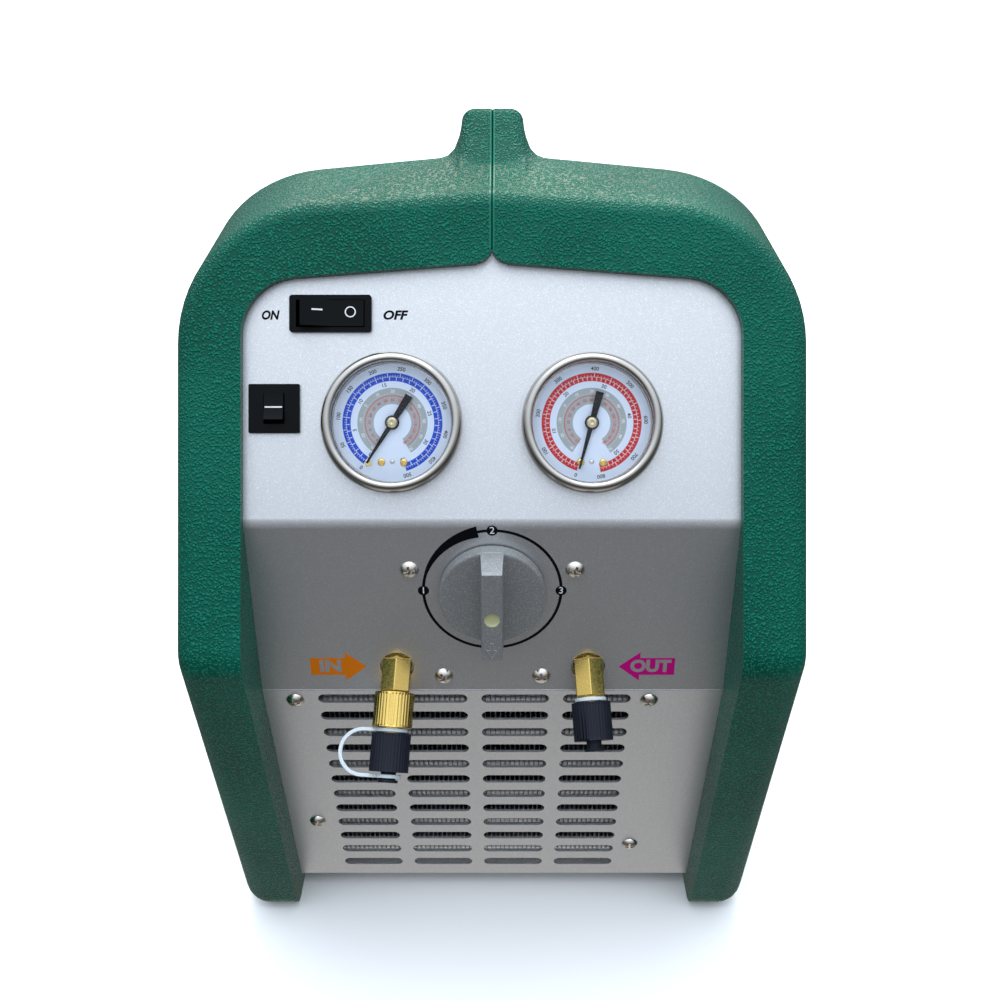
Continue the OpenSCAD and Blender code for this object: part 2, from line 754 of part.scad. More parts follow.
module breaker_body() color("black") breaker_frame() {
  difference() {
    union() {
      box_at([breaker_w, breaker_h], 0, breaker_proud);
      box_at(breaker_body, -breaker_depth, breaker_depth + cut);
    }
    rotate([0, 0, 90]) rocker_seat([breaker_window[1], breaker_window[0]], button_pit, button_w);
  }
  for (s = [-1, 1]) translate([0, s * 5, 0]) box_at([6.3, 0.8], -breaker_depth - 8, 8);
}
module breaker_rocker() color("black") breaker_frame() rotate([0, 0, 90]) rocker(button_l, button_w);

// Gauges
module gauge_case(side) color("silver") gauge_frame(side) difference() {
  rotate_extrude() polygon([
    [0, -gauge_depth], [gauge_hole, -gauge_depth], [gauge_hole, 0], [gauge_r, 0], [gauge_r, gauge_flange],
    [rim_r, gauge_flange], [rim_r, rim_z], [gauge_bore, rim_z], [gauge_bore, dial_z], [0, dial_z]
  ]);
  translate([0, 0, dial_z - arbor_l]) cylinder(r = arbor_r + run_gap, h = arbor_l + cut);
}
module gauge_bezel(side) color("whitesmoke") gauge_frame(side) rotate_extrude() polygon([
  [rim_r + 0.2, gauge_flange], [gauge_r, gauge_flange], [gauge_r, gauge_proud - 1.2],
  [gauge_r - 0.5, gauge_proud - 0.4], [gauge_r - 1.4, gauge_proud], [gauge_bore + 1.2, gauge_proud],
  [gauge_bore, gauge_proud - 0.9], [gauge_bore, rim_z + lens_t + 0.1], [rim_r + 0.2, rim_z + lens_t + 0.1]
]);
module gauge_lens(side) color([0.9, 0.95, 1, 0.35]) gauge_frame(side)
  translate([0, 0, rim_z]) cylinder(r = rim_r - 0.2, h = lens_t);
module gauge_dial(side) color("white") gauge_frame(side) difference() {
  translate([0, 0, dial_z]) cylinder(r = gauge_bore - set_gap, h = dial_t);
  translate([0, 0, dial_z - cut]) cylinder(r = arbor_r + run_gap, h = dial_t + 2 * cut);
}
module gauge_pointer(side, rest) color("black") gauge_frame(side) rotate([0, 0, rest]) {
  translate([0, 0, pointer_z]) linear_extrude(pointer_t) polygon([
    [pointer_l, 0.3], [0, 0.85], [-pointer_l * 0.15, 1], [-pointer_l * 0.67, 1.6],
    [-pointer_l * 0.67, -1.6], [-pointer_l * 0.15, -1], [0, -0.85], [pointer_l, -0.3]
  ]);
  translate([0, 0, pointer_z - 0.3]) cylinder(r = 2.4, h = pointer_t + 1);
  translate([0, 0, dial_z - arbor_l + set_gap]) cylinder(r = arbor_r, h = arbor_l + pointer_z - dial_z);
}
module gauge_stem(side) color("goldenrod") gauge_frame(side) translate([0, 0, -gauge_depth - stem_l])
  difference() {
    union() {
      cylinder(r = stem_af / 2 / cos(30), h = stem_l * 0.55, $fn = 6);
      cylinder(r = stem_af * 0.4, h = stem_l);
    }
    translate([0, 0, -cut]) cylinder(r = capillary_r + run_gap, h = 5 + cut);
  }

module low_gauge_case() gauge_case(-1);
module low_gauge_bezel() gauge_bezel(-1);
module low_gauge_dial() gauge_dial(-1);
module low_gauge_lens() gauge_lens(-1);
module low_gauge_pointer() gauge_pointer(-1, low_rest);
module low_gauge_stem() gauge_stem(-1);
module high_gauge_case() gauge_case(1);
module high_gauge_bezel() gauge_bezel(1);
module high_gauge_dial() gauge_dial(1);
module high_gauge_lens() gauge_lens(1);
module high_gauge_pointer() gauge_pointer(1, high_rest);
module high_gauge_stem() gauge_stem(1);

// Selector valve
module valve_knob() color("lightgray") valve_frame() difference() {
  union() {
    translate([0, 0, knob_gap]) rotate_extrude() polygon([
      [0, 0], [knob_r, 0], [knob_r, knob_h - 1.6], [knob_r - 1.2, knob_h - knob_gap], [0, knob_h - knob_gap]
    ]);
    // The grip stands across the disc and narrows towards its top
    rotate([90, 0, 90]) translate([0, 0, -grip_w / 2]) linear_extrude(grip_w) polygon([
      [-grip_end, knob_gap + 2], [0.8 - grip_end, grip_h - 1], [1.8 - grip_end, grip_h],
      [knob_r * grip_nose, grip_h], [knob_r * grip_nose + 1, grip_h - 1], [knob_r - 0.4, knob_h],
      [knob_r - 1, knob_gap + 2]
    ]);
  }
  both_sides() translate([grip_w / 2, -far / 2, knob_h + 0.2]) rotate([0, -grip_draft, 0]) cube(far);
  translate([0, -dimple_in, grip_h - 1.2]) cylinder(r = dimple_r, h = 3);
  translate([0, 0, -cut]) cylinder(r = spindle_r, h = cut + knob_h);
}
module valve_spindle() color("gray") valve_frame()
  translate([0, 0, -panel_t - spindle_in]) cylinder(r = spindle_r, h = spindle_in + panel_t + knob_h);

module valve_block() color("gainsboro") difference() {
  translate([-block_w / 2, block_y, block_lo]) cube([block_w, block_l, block_hi - block_lo]);
  valve_frame() translate([0, 0, -panel_t - spindle_in - 0.5])
    cylinder(r = spindle_r + run_gap, h = spindle_in + 20);
  mid_frame() for (p = valve_screw_spots) translate(p) screw_hole(screw_in + cut);
  mid_frame() for (s = [-1, 1]) translate([s * port_step / 2, port_z, -panel_t - stub_in - 0.2])
    cylinder(r = stub_r + run_gap, h = far);
}

// Ports
module port_shank(side, hex_l) {
  mid_frame() translate([side * port_step / 2, port_z, -panel_t - stub_in]) difference() {
    cylinder(r = stub_r, h = stub_in + panel_t + 3);
    translate([0, 0, -cut]) cylinder(r = flow_r, h = stub_in);
  }
  difference() {
    port_frame(side) rotate([0, 0, 30]) cylinder(r = hex_r, h = hex_l, $fn = 6);
    translate([-far / 2, panel_y - set_gap, -far / 2]) cube(far);
  }
}
module knurled(r, h) difference() {
  cylinder(r = r, h = h);
  for (i = [0 : knurl_count - 1]) rotate([0, 0, i * 360 / knurl_count]) translate([r, 0, 1])
    cylinder(r = knurl_r, h = h - 2, $fn = 4);
}
module flare_end(z, l) {
  translate([0, 0, z - cut]) cylinder(r = neck_r, h = cut + neck_l);
  translate([0, 0, z + neck_l]) cylinder(r = flare_r, h = l - 2);
  translate([0, 0, z + neck_l + l - 2]) cylinder(r1 = flare_r, r2 = neck_r, h = 2);
}

module inlet_fitting() color("goldenrod") {
  port_shank(-1, inlet_hex_l);
  port_frame(-1) difference() {
    translate([0, 0, inlet_hex_l - cut]) cylinder(r = flare_r, h = cut + nut_l * 0.5);
    translate([0, 0, inlet_hex_l + cut]) cylinder(r = screen_r + run_gap, h = nut_l);
  }
}
module filter_nut() color("goldenrod") port_frame(-1) difference() {
  union() {
    translate([0, 0, nut_start]) knurled(nut_d / 2, nut_l);
    flare_end(nut_end, flare_l);
  }
  translate([0, 0, nut_start - cut]) cylinder(r = flare_r + run_gap, h = cut + nut_l * 0.5 + set_gap);
  translate([0, 0, nut_start - cut]) cylinder(r = flow_r, h = far);
}
module filter_screen() color("gray") port_frame(-1) translate([0, 0, inlet_hex_l + cut]) difference() {
  cylinder(r = screen_r, h = nut_l * 0.5 - cut);
  translate([0, 0, 1]) cylinder(r = screen_r - 0.6, h = nut_l);
}
module port_cap() {
  difference() {
    knurled(cap_d / 2, cap_l);
    translate([0, 0, -cut]) cylinder(r = flare_r + run_gap, h = cut + cap_l - cap_top);
  }
  translate([0, 0, cap_l - cut]) cylinder(r = tip_r, h = cut + tip_l - 1.2);
  translate([0, 0, cap_l + tip_l - 1.2]) cylinder(r = tip_r + 1, h = 1.2);
}
module inlet_cap() color("black") port_frame(-1) translate([0, 0, inlet_cap_start]) port_cap();
module outlet_fitting() color("goldenrod") {
  port_shank(1, outlet_hex_l);
  port_frame(1) flare_end(outlet_hex_l, flare_l);
}
module outlet_cap() color("black") port_frame(1) translate([0, 0, outlet_cap_start]) port_cap();

module strap_ring(r, z) translate([0, 0, z]) difference() {
  cylinder(r = r + strap_w, h = strap_t);
  translate([0, 0, -cut]) cylinder(r = r + run_gap, h = strap_t + 2 * cut);
}
// Rings round the neck and the tip of the cap, joined by a loop to the left
module inlet_strap() color("white") port_frame(-1) {
  neck_z = nut_end + 0.4;
  tip_z = inlet_cap_start + tip_ring_z;
  loop_r = (tip_z - neck_z) / 2;
  loop_x = strap_reach - loop_r;
  strap_ring(neck_r, neck_z);
  strap_ring(tip_r, tip_z);
  for (p = [[neck_r, neck_z], [tip_r, tip_z]])
    translate([-loop_x, -strap_w / 2, p[1]]) cube([loop_x - p[0] - strap_w / 2, strap_w, strap_t]);
  translate([-loop_x, strap_w / 2, (tip_z + neck_z + strap_t) / 2]) rotate([90, 0, 0]) linear_extrude(strap_w)
    difference() {
      circle(loop_r + strap_t / 2);
      circle(loop_r - strap_t / 2);
      translate([0, -far / 2]) square(far);
    }
}
module outlet_strap() color("white") port_frame(1) strap_ring(neck_r, outlet_hex_l + 0.4);

// Condenser and fan
function tube_y(i) = -tube_first - i * tube_pitch;
module condenser_frame() grille_frame() translate([cond_x, 0, 0]) children();
module tube_holes(r) for (i = [0 : tube_rows - 1]) translate([tube_y(i), -tube_depth]) circle(r);
module condenser_fins() color("lightsteelblue") condenser_frame()
  for (i = [0 : fin_count - 1]) translate([-fin_span / 2 + i * (fin_span - fin_t) / (fin_count - 1), 0, 0])
    rotate([90, 0, 90]) linear_extrude(fin_t) difference() {
      translate([-bracket_l, -fin_front - fin_l]) square([bracket_l - fin_top, fin_l]);
      tube_holes(tube_d / 2 + tube_seat);
    }
module condenser_tubes() color("lightsteelblue") condenser_frame() {
  for (i = [0 : tube_rows - 1]) translate([-tube_end, tube_y(i), -tube_depth]) rotate([0, 90, 0])
    cylinder(d = tube_d, h = 2 * tube_end);
  for (i = [0 : tube_rows - 2]) {
    s = i % 2 == 0 ? -1 : 1;
    translate([s * tube_end, tube_y(i) - tube_pitch / 2, -tube_depth])
      rotate([0, 0, s < 0 ? 90 : -90]) rotate_extrude(angle = 180) translate([tube_pitch / 2, 0])
        circle(d = tube_d);
  }
  for (i = [0, tube_rows - 1]) translate([tube_end, tube_y(i), -tube_depth]) rotate([0, 90, 0])
    cylinder(d = tube_d, h = tube_stub - tube_end);
}
module condenser_brackets() color("gray") difference() {
  condenser_frame() for (s = [-1, 1]) {
    translate([s * bracket_web + (s < 0 ? -bracket_t : 0), -bracket_l, -panel_t - bracket_back])
      difference() {
        cube([bracket_t, bracket_l - 1, bracket_back]);
        translate([-cut, bracket_l, panel_t + bracket_back]) rotate([90, 0, 90])
          linear_extrude(bracket_t + 2 * cut) tube_holes(tube_d / 2 + tube_seat);
      }
    translate([s < 0 ? -bracket_web - bracket_flange : bracket_web, -bracket_l, -panel_t - bracket_t])
      cube([bracket_flange, bracket_l - 1, bracket_t]);
  }
  grille_frame() grille_spots() screw_hole(10);
}

module fan_frame() color("dimgray") translate([cond_x, fan_y, 0]) {
  difference() {
    translate([-fan_plate[0] / 2, 0, tray_top]) cube(fan_plate);
    translate([0, -cut, fan_z]) rotate([-90, 0, 0]) cylinder(r = fan_hole_r, h = fan_plate[1] + 2 * cut);
  }
  translate([-fan_plate[0] / 2, 0, tray_top]) cube([fan_plate[0], 14, fan_plate[1]]);
  for (s = [-1, 1], z = [fan_z - 14, fan_z + 14]) {
    translate([s * fan_leg_x - fan_bar[0] / 2, fan_plate[1] - 0.1, z - fan_bar[0] / 2])
      cube([fan_bar[0], fan_leg + 0.1, fan_bar[0]]);
    translate([-fan_leg_x, fan_plate[1] + fan_leg - fan_bar[1], z - fan_bar[0] / 2])
      cube([2 * fan_leg_x, fan_bar[1], fan_bar[0]]);
  }
}
module fan_motor() color("silver") translate([cond_x, fan_motor_y, fan_z]) rotate([-90, 0, 0]) difference() {
  union() {
    cylinder(d = fan_motor_d, h = fan_motor_l);
    translate([0, 0, fan_motor_l]) cylinder(d = fan_motor_d * 0.5, h = 5);
  }
  translate([0, 0, -cut]) cylinder(r = fan_shaft_r + run_gap, h = cut + fan_motor_l * 0.6);
}
module fan_impeller() color("white")
  translate([cond_x, fan_y + fan_plate[1] + 6, fan_z]) rotate([-90, 0, 0]) {
  cylinder(r = fan_hub_r, h = fan_hub_l);
  cylinder(r = fan_shaft_r, h = fan_leg - 6 + fan_motor_l * 0.55);
  intersection() {
    cylinder(d = fan_d, h = fan_hub_l);
    for (i = [0 : fan_blades - 1]) rotate([0, 0, i * 360 / fan_blades])
      translate([0, 0, fan_hub_l / 2]) rotate([blade_pitch, 0, 0])
        translate([fan_hub_r - 2, -blade_chord / 2, -blade_t / 2]) cube([fan_d / 2, blade_chord, blade_t]);
  }
}

// Compressor and lines
module crankcase() color("silver") {
  translate([-base_size[0] / 2, base_y - base_size[1] / 2, base_z])
    cube([base_size[0], base_size[1], base_t]);
  translate([0, crank_y, comp_z]) rotate([-90, 0, 0]) cylinder(d = crank_d, h = crank_l);
  translate([-crank_d / 4, crank_y, base_z]) cube([crank_d / 2, crank_l, comp_z - base_z]);
  translate([0, barrel_y, barrel_z]) {
    cylinder(d = barrel_d - 10, h = barrel_h);
    for (i = [0 : barrel_fins - 1]) translate([0, 0, 6 + i * (barrel_h - 6) / barrel_fins])
      cylinder(d = barrel_d, h = 2.4);
  }
}
module compressor_motor() color("dimgray") translate([0, motor_y, comp_z]) rotate([-90, 0, 0]) {
  cylinder(d = motor_d, h = motor_l);
  translate([0, 0, motor_l - 0.1]) cylinder(d1 = motor_d - 6, d2 = motor_d - 24, h = 12);
}
module cylinder_head() color("silver") translate([-head_w / 2, barrel_y - head_w / 2, head_z]) difference() {
  cube([head_w, head_w, head_h]);
  for (i = [0 : 4]) translate([8 + i * (head_w - 16) / 4 - 1.5, -cut, head_h - 4])
    cube([3, (head_w - line_d) / 2 - 6, 4 + cut]);
}
module rubber_mounts() color("black") for (x = [-1, 1], y = [-1, 1])
  translate([x * (base_size[0] / 2 - 12), base_y + y * (base_size[1] / 2 - 12), tray_top])
    cylinder(r = mount_r, h = mount_h);

// A tube bent through points, each kept to a hundredth: straight runs joined by elbows of
// radius bend
function snapped(p) = [for (q = p) [for (c = q) round(c * 100) / 100]];
function unit(v) = v / norm(v);
function turn(p, i) = acos(unit(p[i] - p[i - 1]) * unit(p[i + 1] - p[i]));
function trim(p, i, bend) = i == 0 || i == len(p) - 1 ? 0 : bend * tan(turn(p, i) / 2);
module tube_path(points, r, bend) {
  p = snapped(points);
  for (i = [0 : len(p) - 2]) {
    d = unit(p[i + 1] - p[i]);
    l = norm(p[i + 1] - p[i]) - trim(p, i, bend) - trim(p, i + 1, bend);
    translate(p[i] + d * trim(p, i, bend)) rotate([0, acos(d[2]), atan2(d[1], d[0])]) cylinder(r = r, h = l);
  }
  for (i = [1 : len(p) - 2]) {
    a = unit(p[i] - p[i - 1]);
    b = unit(p[i + 1] - p[i]);
    n = unit(b - (a * b) * a);
    c = p[i] - a * trim(p, i, bend) + n * bend;
    z = cross(a, n);
    multmatrix([
      [-n[0], a[0], z[0], c[0]],
      [-n[1], a[1], z[1], c[1]],
      [-n[2], a[2], z[2], c[2]],
      [0, 0, 0, 1]
    ])
      rotate_extrude(angle = turn(p, i)) translate([bend, 0]) circle(r);
  }
}
function condenser_end(i) = let (l = -tube_y(i)) [
  cond_x + tube_stub,
  panel_y + l * sin(grille_tilt) + tube_depth * cos(grille_tilt),
  fold_lo_z - l * cos(grille_tilt) + tube_depth * sin(grille_tilt)
];
block_back = block_y + block_l;
head_top = head_z + head_h;
module suction_line() color("peru") let (y = block_back + 22, z = block_lo + 26, over = head_top + 20)
  tube_path([
    [-head_port, block_back, z], [-head_port, y, z], [-head_port, y, over], [-head_port, barrel_y, over],
    [-head_port, barrel_y, head_top]
  ], line_r, line_bend);
hot_x = in_w / 2 - line_d;
module discharge_line() color("peru") let (e = condenser_end(0), z = head_top + 36) tube_path([
  [head_port, barrel_y, head_top], [head_port, barrel_y, z], [hot_x, barrel_y, z], [hot_x, e[1], z],
  [hot_x, e[1], e[2]], e
], line_r, line_bend);
module liquid_line() color("peru") let (e = condenser_end(tube_rows - 1), z = block_lo + 40) tube_path([
  e, [hot_x, e[1], e[2]], [hot_x, e[1], z], [hot_x, block_back - 12, z], [block_w / 2, block_back - 12, z]
], line_r, line_bend);
function stem_pt(side, d) = [
  side * gauge_step / 2,
  panel_y + gauge_t * sin(face_tilt) + d * cos(face_tilt),
  fold_hi_z + gauge_t * cos(face_tilt) - d * sin(face_tilt)
];
// A thin line swept through points with mitred corners
function swept(p, ring, i) = i == len(p) ? [] : let (
  a = unit(p[i] - p[i - 1]),
  n = i == len(p) - 1 ? a : unit(a + unit(p[i + 1] - p[i])),
  next = [for (q = ring) q + a * ((p[i] - q) * n) / (a * n)]
) concat(next, swept(p, next, i + 1));
module swept_line(p, r, sides) {
  d = unit(p[1] - p[0]);
  u = unit(cross(d, [0, 0, 1]));
  w = cross(d, u);
  ring = [for (k = [0 : sides - 1]) p[0] + r * (cos(360 * k / sides) * u + sin(360 * k / sides) * w)];
  runs = [
    for (i = [0 : len(p) - 2], k = [0 : sides - 1]) let (a = i * sides + k, b = i * sides + (k + 1) % sides)
      [a, a + sides, b + sides, b]
  ];
  start = [for (k = [0 : sides - 1]) k];
  end = [for (k = [sides - 1 : -1 : 0]) (len(p) - 1) * sides + k];
  polyhedron(concat(ring, swept(p, ring, 1)), concat([start], runs, [end]));
}
module gauge_lines() color("peru") for (s = [-1, 1]) swept_line([
  stem_pt(s, gauge_depth + stem_l - 3), stem_pt(s, gauge_depth + stem_l + 6),
  [s * gauge_step / 2, block_back + 12, block_hi - 8], [s * gauge_step / 2, block_back, block_hi - 8]
], capillary_r, capillary_sides);
module pressure_switch() color("black") translate([switch_port[0], block_back, switch_port[1]])
  rotate([-90, 0, 0]) {
    cylinder(r = pressure_r * 0.6, h = pressure_l * 0.3);
    translate([0, 0, pressure_l * 0.3 - 0.1]) cylinder(r = pressure_r, h = pressure_l * 0.7);
  }
module run_capacitor() color("gainsboro") translate([capacitor_at[0], capacitor_at[1], tray_top]) {
  cylinder(r = capacitor_r, h = capacitor_h);
  for (s = [-1, 1]) translate([s * 7, 0, capacitor_h - 0.1]) box_at([6.3, 0.8], 0, 8);
}

// Mains inlet on the rear panel, shown in the front half and mirrored to the back
module inlet_frame() mid_frame() translate([inlet_at[0], inlet_at[1], 0]) children();
module power_inlet() color("black") mirror([0, 1, 0]) inlet_frame() {
  difference() {
    union() {
      box_at(inlet_flange, 0, 2.5);
      box_at(inlet_mouth + [2 * inlet_wall, 2 * inlet_wall], -inlet_depth, inlet_depth + cut);
    }
    box_at(inlet_mouth, 3 - inlet_depth, far);
    for (s = [-1, 1]) translate([s * 20, 0, -cut]) cylinder(d = 3.3, h = 10);
  }
  for (i = [-1 : 1]) translate([i * inlet_pin_step, i == 0 ? 2 : -2, 0])
    box_at([inlet_pin[0], inlet_pin[1]], 2.9 - inlet_depth, inlet_pin[2]);
}

left_shell();
right_shell();
control_panel();
grille_panel();
rear_panel();
base_tray();
tray_screws();
rubber_feet();
valve_screws();
grille_screws();
switch_body();
switch_rocker();
breaker_body();
breaker_rocker();
low_gauge_case();
low_gauge_bezel();
low_gauge_dial();
low_gauge_lens();
low_gauge_pointer();
low_gauge_stem();
high_gauge_case();
high_gauge_bezel();
high_gauge_dial();
high_gauge_lens();
high_gauge_pointer();
high_gauge_stem();
valve_knob();
valve_spindle();
valve_block();
inlet_fitting();
filter_nut();
filter_screen();
inlet_cap();
inlet_strap();
outlet_fitting();
outlet_cap();
outlet_strap();
condenser_fins();
condenser_tubes();
condenser_brackets();
fan_frame();
fan_motor();
fan_impeller();
crankcase();
compressor_motor();
cylinder_head();
rubber_mounts();
suction_line();
discharge_line();
liquid_line();
gauge_lines();
pressure_switch();
run_capacitor();
power_inlet();
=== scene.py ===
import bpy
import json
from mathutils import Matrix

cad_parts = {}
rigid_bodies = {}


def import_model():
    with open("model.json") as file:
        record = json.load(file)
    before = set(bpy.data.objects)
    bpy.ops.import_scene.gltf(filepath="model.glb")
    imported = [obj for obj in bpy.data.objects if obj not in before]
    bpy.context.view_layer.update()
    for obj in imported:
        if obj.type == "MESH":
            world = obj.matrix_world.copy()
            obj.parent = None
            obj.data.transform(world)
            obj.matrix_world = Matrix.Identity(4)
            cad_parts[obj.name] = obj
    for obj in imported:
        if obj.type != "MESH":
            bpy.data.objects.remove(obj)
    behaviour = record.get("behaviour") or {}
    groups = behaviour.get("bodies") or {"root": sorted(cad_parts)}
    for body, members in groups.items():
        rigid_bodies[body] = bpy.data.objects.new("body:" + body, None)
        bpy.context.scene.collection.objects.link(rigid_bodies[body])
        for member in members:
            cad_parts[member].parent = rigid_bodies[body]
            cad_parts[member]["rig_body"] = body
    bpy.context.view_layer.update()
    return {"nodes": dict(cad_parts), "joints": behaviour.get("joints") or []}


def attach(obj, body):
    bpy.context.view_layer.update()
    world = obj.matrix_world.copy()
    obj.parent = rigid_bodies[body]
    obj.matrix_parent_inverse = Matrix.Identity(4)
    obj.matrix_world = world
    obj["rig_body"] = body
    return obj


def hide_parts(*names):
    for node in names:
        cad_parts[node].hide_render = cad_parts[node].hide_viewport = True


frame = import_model()

import bmesh
import bpy
import json
import math
from mathutils import Matrix, Vector

mm = 0.001

# Places on the sheet metal, from the imported joints and listed numbers
sheet = dict(foldHigh=238.4, foldLow=156, lean=28, undercut=14.2)
joints = {joint["name"]: joint for joint in frame["joints"]}
panelY = joints["selector_turn"]["pos_m"][1]
valveZ = joints["selector_turn"]["pos_m"][2]


def sheetFrame(height, lean):  # x to the right, y up the sheet, z out of it
    turn = Matrix.Rotation(math.radians(90 - lean), 4, "X")
    return Matrix.Translation((0, panelY, height)) @ turn


upperFrame = sheetFrame(sheet["foldHigh"] * mm, sheet["lean"])
middleFrame = sheetFrame(0, 0)
grilleFrame = sheetFrame(sheet["foldLow"] * mm, -sheet["undercut"])
valveFrame = sheetFrame(valveZ, 0)


def moved(base, x, y, z=0):  # a frame shifted within its own sheet, in millimetres
    return base @ Matrix.Translation((x * mm, y * mm, z * mm))


# Handling of objects

def clearPick():
    if bpy.context.mode != "OBJECT":
        bpy.ops.object.mode_set(mode="OBJECT")
    bpy.ops.object.select_all(action="DESELECT")


def pick(*objects):  # selects only these, the last one active
    clearPick()
    for obj in objects:
        obj.select_set(True)
    bpy.context.view_layer.objects.active = objects[-1]


def named(name):  # the primitive that was just added
    obj = bpy.context.object
    obj.name = obj.data.name = name
    return obj


def editAll(obj):
    pick(obj)
    bpy.ops.object.mode_set(mode="EDIT")
    bpy.ops.mesh.select_mode(type="VERT")
    bpy.ops.mesh.select_all(action="SELECT")


def editFaces(obj, test):  # edit mode with the faces that pass the test selected
    editAll(obj)
    bpy.ops.mesh.select_mode(type="FACE")
    bpy.ops.mesh.select_all(action="DESELECT")
    work = bmesh.from_edit_mesh(obj.data)
    for face in work.faces:
        if test(face):
            face.select_set(True)
    bmesh.update_edit_mesh(obj.data)


def editVerts(obj, test):  # edit mode with the vertices that pass the test selected, seen in millimetres
    editAll(obj)
    bpy.ops.mesh.select_all(action="DESELECT")
    work = bmesh.from_edit_mesh(obj.data)
    for vert in work.verts:
        vert.select_set(test(vert.co / mm))
    work.select_flush_mode()
    bmesh.update_edit_mesh(obj.data)


def editEdges(obj, test):  # edit mode with the edges that pass the test selected
    editAll(obj)
    bpy.ops.mesh.select_mode(type="EDGE")
    bpy.ops.mesh.select_all(action="DESELECT")
    work = bmesh.from_edit_mesh(obj.data)
    for edge in work.edges:
        if len(edge.link_faces) == 2 and test(edge):
            edge.select_set(True)
    bmesh.update_edit_mesh(obj.data)


def useModifier(obj, kind, **settings):
    pick(obj)
    modifier = obj.modifiers.new(kind.title(), kind)
    for key, value in settings.items():
        setattr(modifier, key, value)
    bpy.ops.object.modifier_apply(modifier=modifier.name)


def softenEdges(obj, width, segments=2, angle=35, smooth=40):  # width in millimetres, angles in degrees
    if width:
        useModifier(
            obj, "BEVEL", width=width * mm, segments=segments, limit_method="ANGLE",
            angle_limit=math.radians(angle), miter_outer="MITER_ARC",
        )
    pick(obj)
    bpy.ops.object.shade_smooth_by_angle(angle=math.radians(smooth))
    useModifier(obj, "WEIGHTED_NORMAL", keep_sharp=True)  # flats stay flat beside rounded edges


def place(obj, matrix):  # puts the piece's place into its mesh
    obj.matrix_world = matrix
    pick(obj)
    bpy.ops.object.transform_apply(location=True, rotation=True, scale=True)


def joined(objects, name):
    pick(*objects)
    bpy.ops.object.join()
    return named(name)


def finishPiece(obj, body, material, nodes=()):
    if material:
        obj.data.materials.clear()
        obj.data.materials.append(material)
    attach(obj, body)
    if nodes:
        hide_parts(*nodes)
    return obj


def copyNode(node, name):  # a merged copy of a CAD node, its flat faces made whole
    obj = bpy.data.objects.new(name, frame["nodes"][node].data.copy())
    bpy.context.scene.collection.objects.link(obj)
    editAll(obj)
    bpy.ops.mesh.remove_doubles(threshold=0.002 * mm)
    bpy.ops.mesh.dissolve_limited(angle_limit=math.radians(0.4))
    clearPick()
    return obj


def bodyOf(node):
    return frame["nodes"][node]["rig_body"]


def roundCorners(obj, axis, width):  # rounds the outermost edges that run along an axis
    across = Vector((1, 0, 0))
    sides = []
    for way in (across, axis.cross(across)):
        reach = [vert.co.dot(way) for vert in obj.data.vertices]
        sides.append((way, min(reach), max(reach)))

    def atCorner(point):
        gaps = [min(point.dot(way) - low, high - point.dot(way)) for way, low, high in sides]
        return max(gaps) < 0.05 * mm

    editEdges(obj, lambda edge: all(atCorner(vert.co) for vert in edge.verts)
              and abs((edge.verts[0].co - edge.verts[1].co).normalized().dot(axis)) > 0.99)
    bpy.ops.mesh.bevel(offset=width * mm, segments=4, affect="EDGES", clamp_overlap=False)
    clearPick()


def dressNode(node, material, slot, width=0.4, corner=0, **edges):  # a CAD piece with its edges softened
    obj = copyNode(node, node + "_finished")
    if corner:
        roundCorners(obj, upperFrame.col[2].xyz, corner)
    softenEdges(obj, width, **edges)
    return finishPiece(obj, bodyOf(node), material, [node])


# Starting shapes, built up from a plane as by hand

def firstVertex(name, point):
    clearPick()
    bpy.ops.mesh.primitive_plane_add(size=mm)
    obj = named(name)
    editAll(obj)
    bpy.ops.mesh.merge(type="CENTER")
    bpy.ops.transform.translate(value=[c * mm for c in point])
    return obj


def chain(name, points):  # a line of edges through points in millimetres
    obj = firstVertex(name, points[0])
    for a, b in zip(points, points[1:]):
        step = [(q - p) * mm for p, q in zip(a, b)]
        bpy.ops.mesh.extrude_vertices_move(TRANSFORM_OT_translate={"value": step})
    return obj


def plate(name, points, height):  # a closed outline raised to a plate
    obj = chain(name, [(x, y, 0) for x, y in points])
    bpy.ops.mesh.select_all(action="SELECT")
    bpy.ops.mesh.edge_face_add()
    bpy.ops.mesh.extrude_region_move(TRANSFORM_OT_translate={"value": (0, 0, height * mm)})
    bpy.ops.mesh.select_all(action="SELECT")
    bpy.ops.mesh.normals_make_consistent(inside=False)
    clearPick()
    return obj


def bar(name, halfLength, halfWidth, height):  # a small rectangular plate
    a, b = halfLength, halfWidth
    return plate(name, [(-a, -b), (a, -b), (a, b), (-a, b)], height)


def turned(name, profile, steps=64, sweep=360):  # a profile of (radius, height) spun round z
    obj = chain(name, [(r, 0, z) for r, z in profile])
    bpy.ops.mesh.select_all(action="SELECT")
    bpy.ops.mesh.spin(steps=steps, angle=math.radians(sweep), center=(0, 0, 0), axis=(0, 0, 1))
    bpy.ops.mesh.select_all(action="SELECT")
    bpy.ops.mesh.remove_doubles(threshold=0.001 * mm)
    bpy.ops.mesh.normals_make_consistent(inside=False)
    clearPick()
    return obj


def band(name, inner, outer, start, end, height, steps=96):  # a flat arc, angles from x
    obj = turned(name, [(inner, 0), (outer, 0)], steps, start - end)  # spin turns clockwise
    editAll(obj)
    bpy.ops.mesh.extrude_region_move(TRANSFORM_OT_translate={"value": (0, 0, height * mm)})
    bpy.ops.mesh.select_all(action="SELECT")
    bpy.ops.mesh.normals_make_consistent(inside=False)
    place(obj, Matrix.Rotation(math.radians(start), 4, "Z"))
    return obj


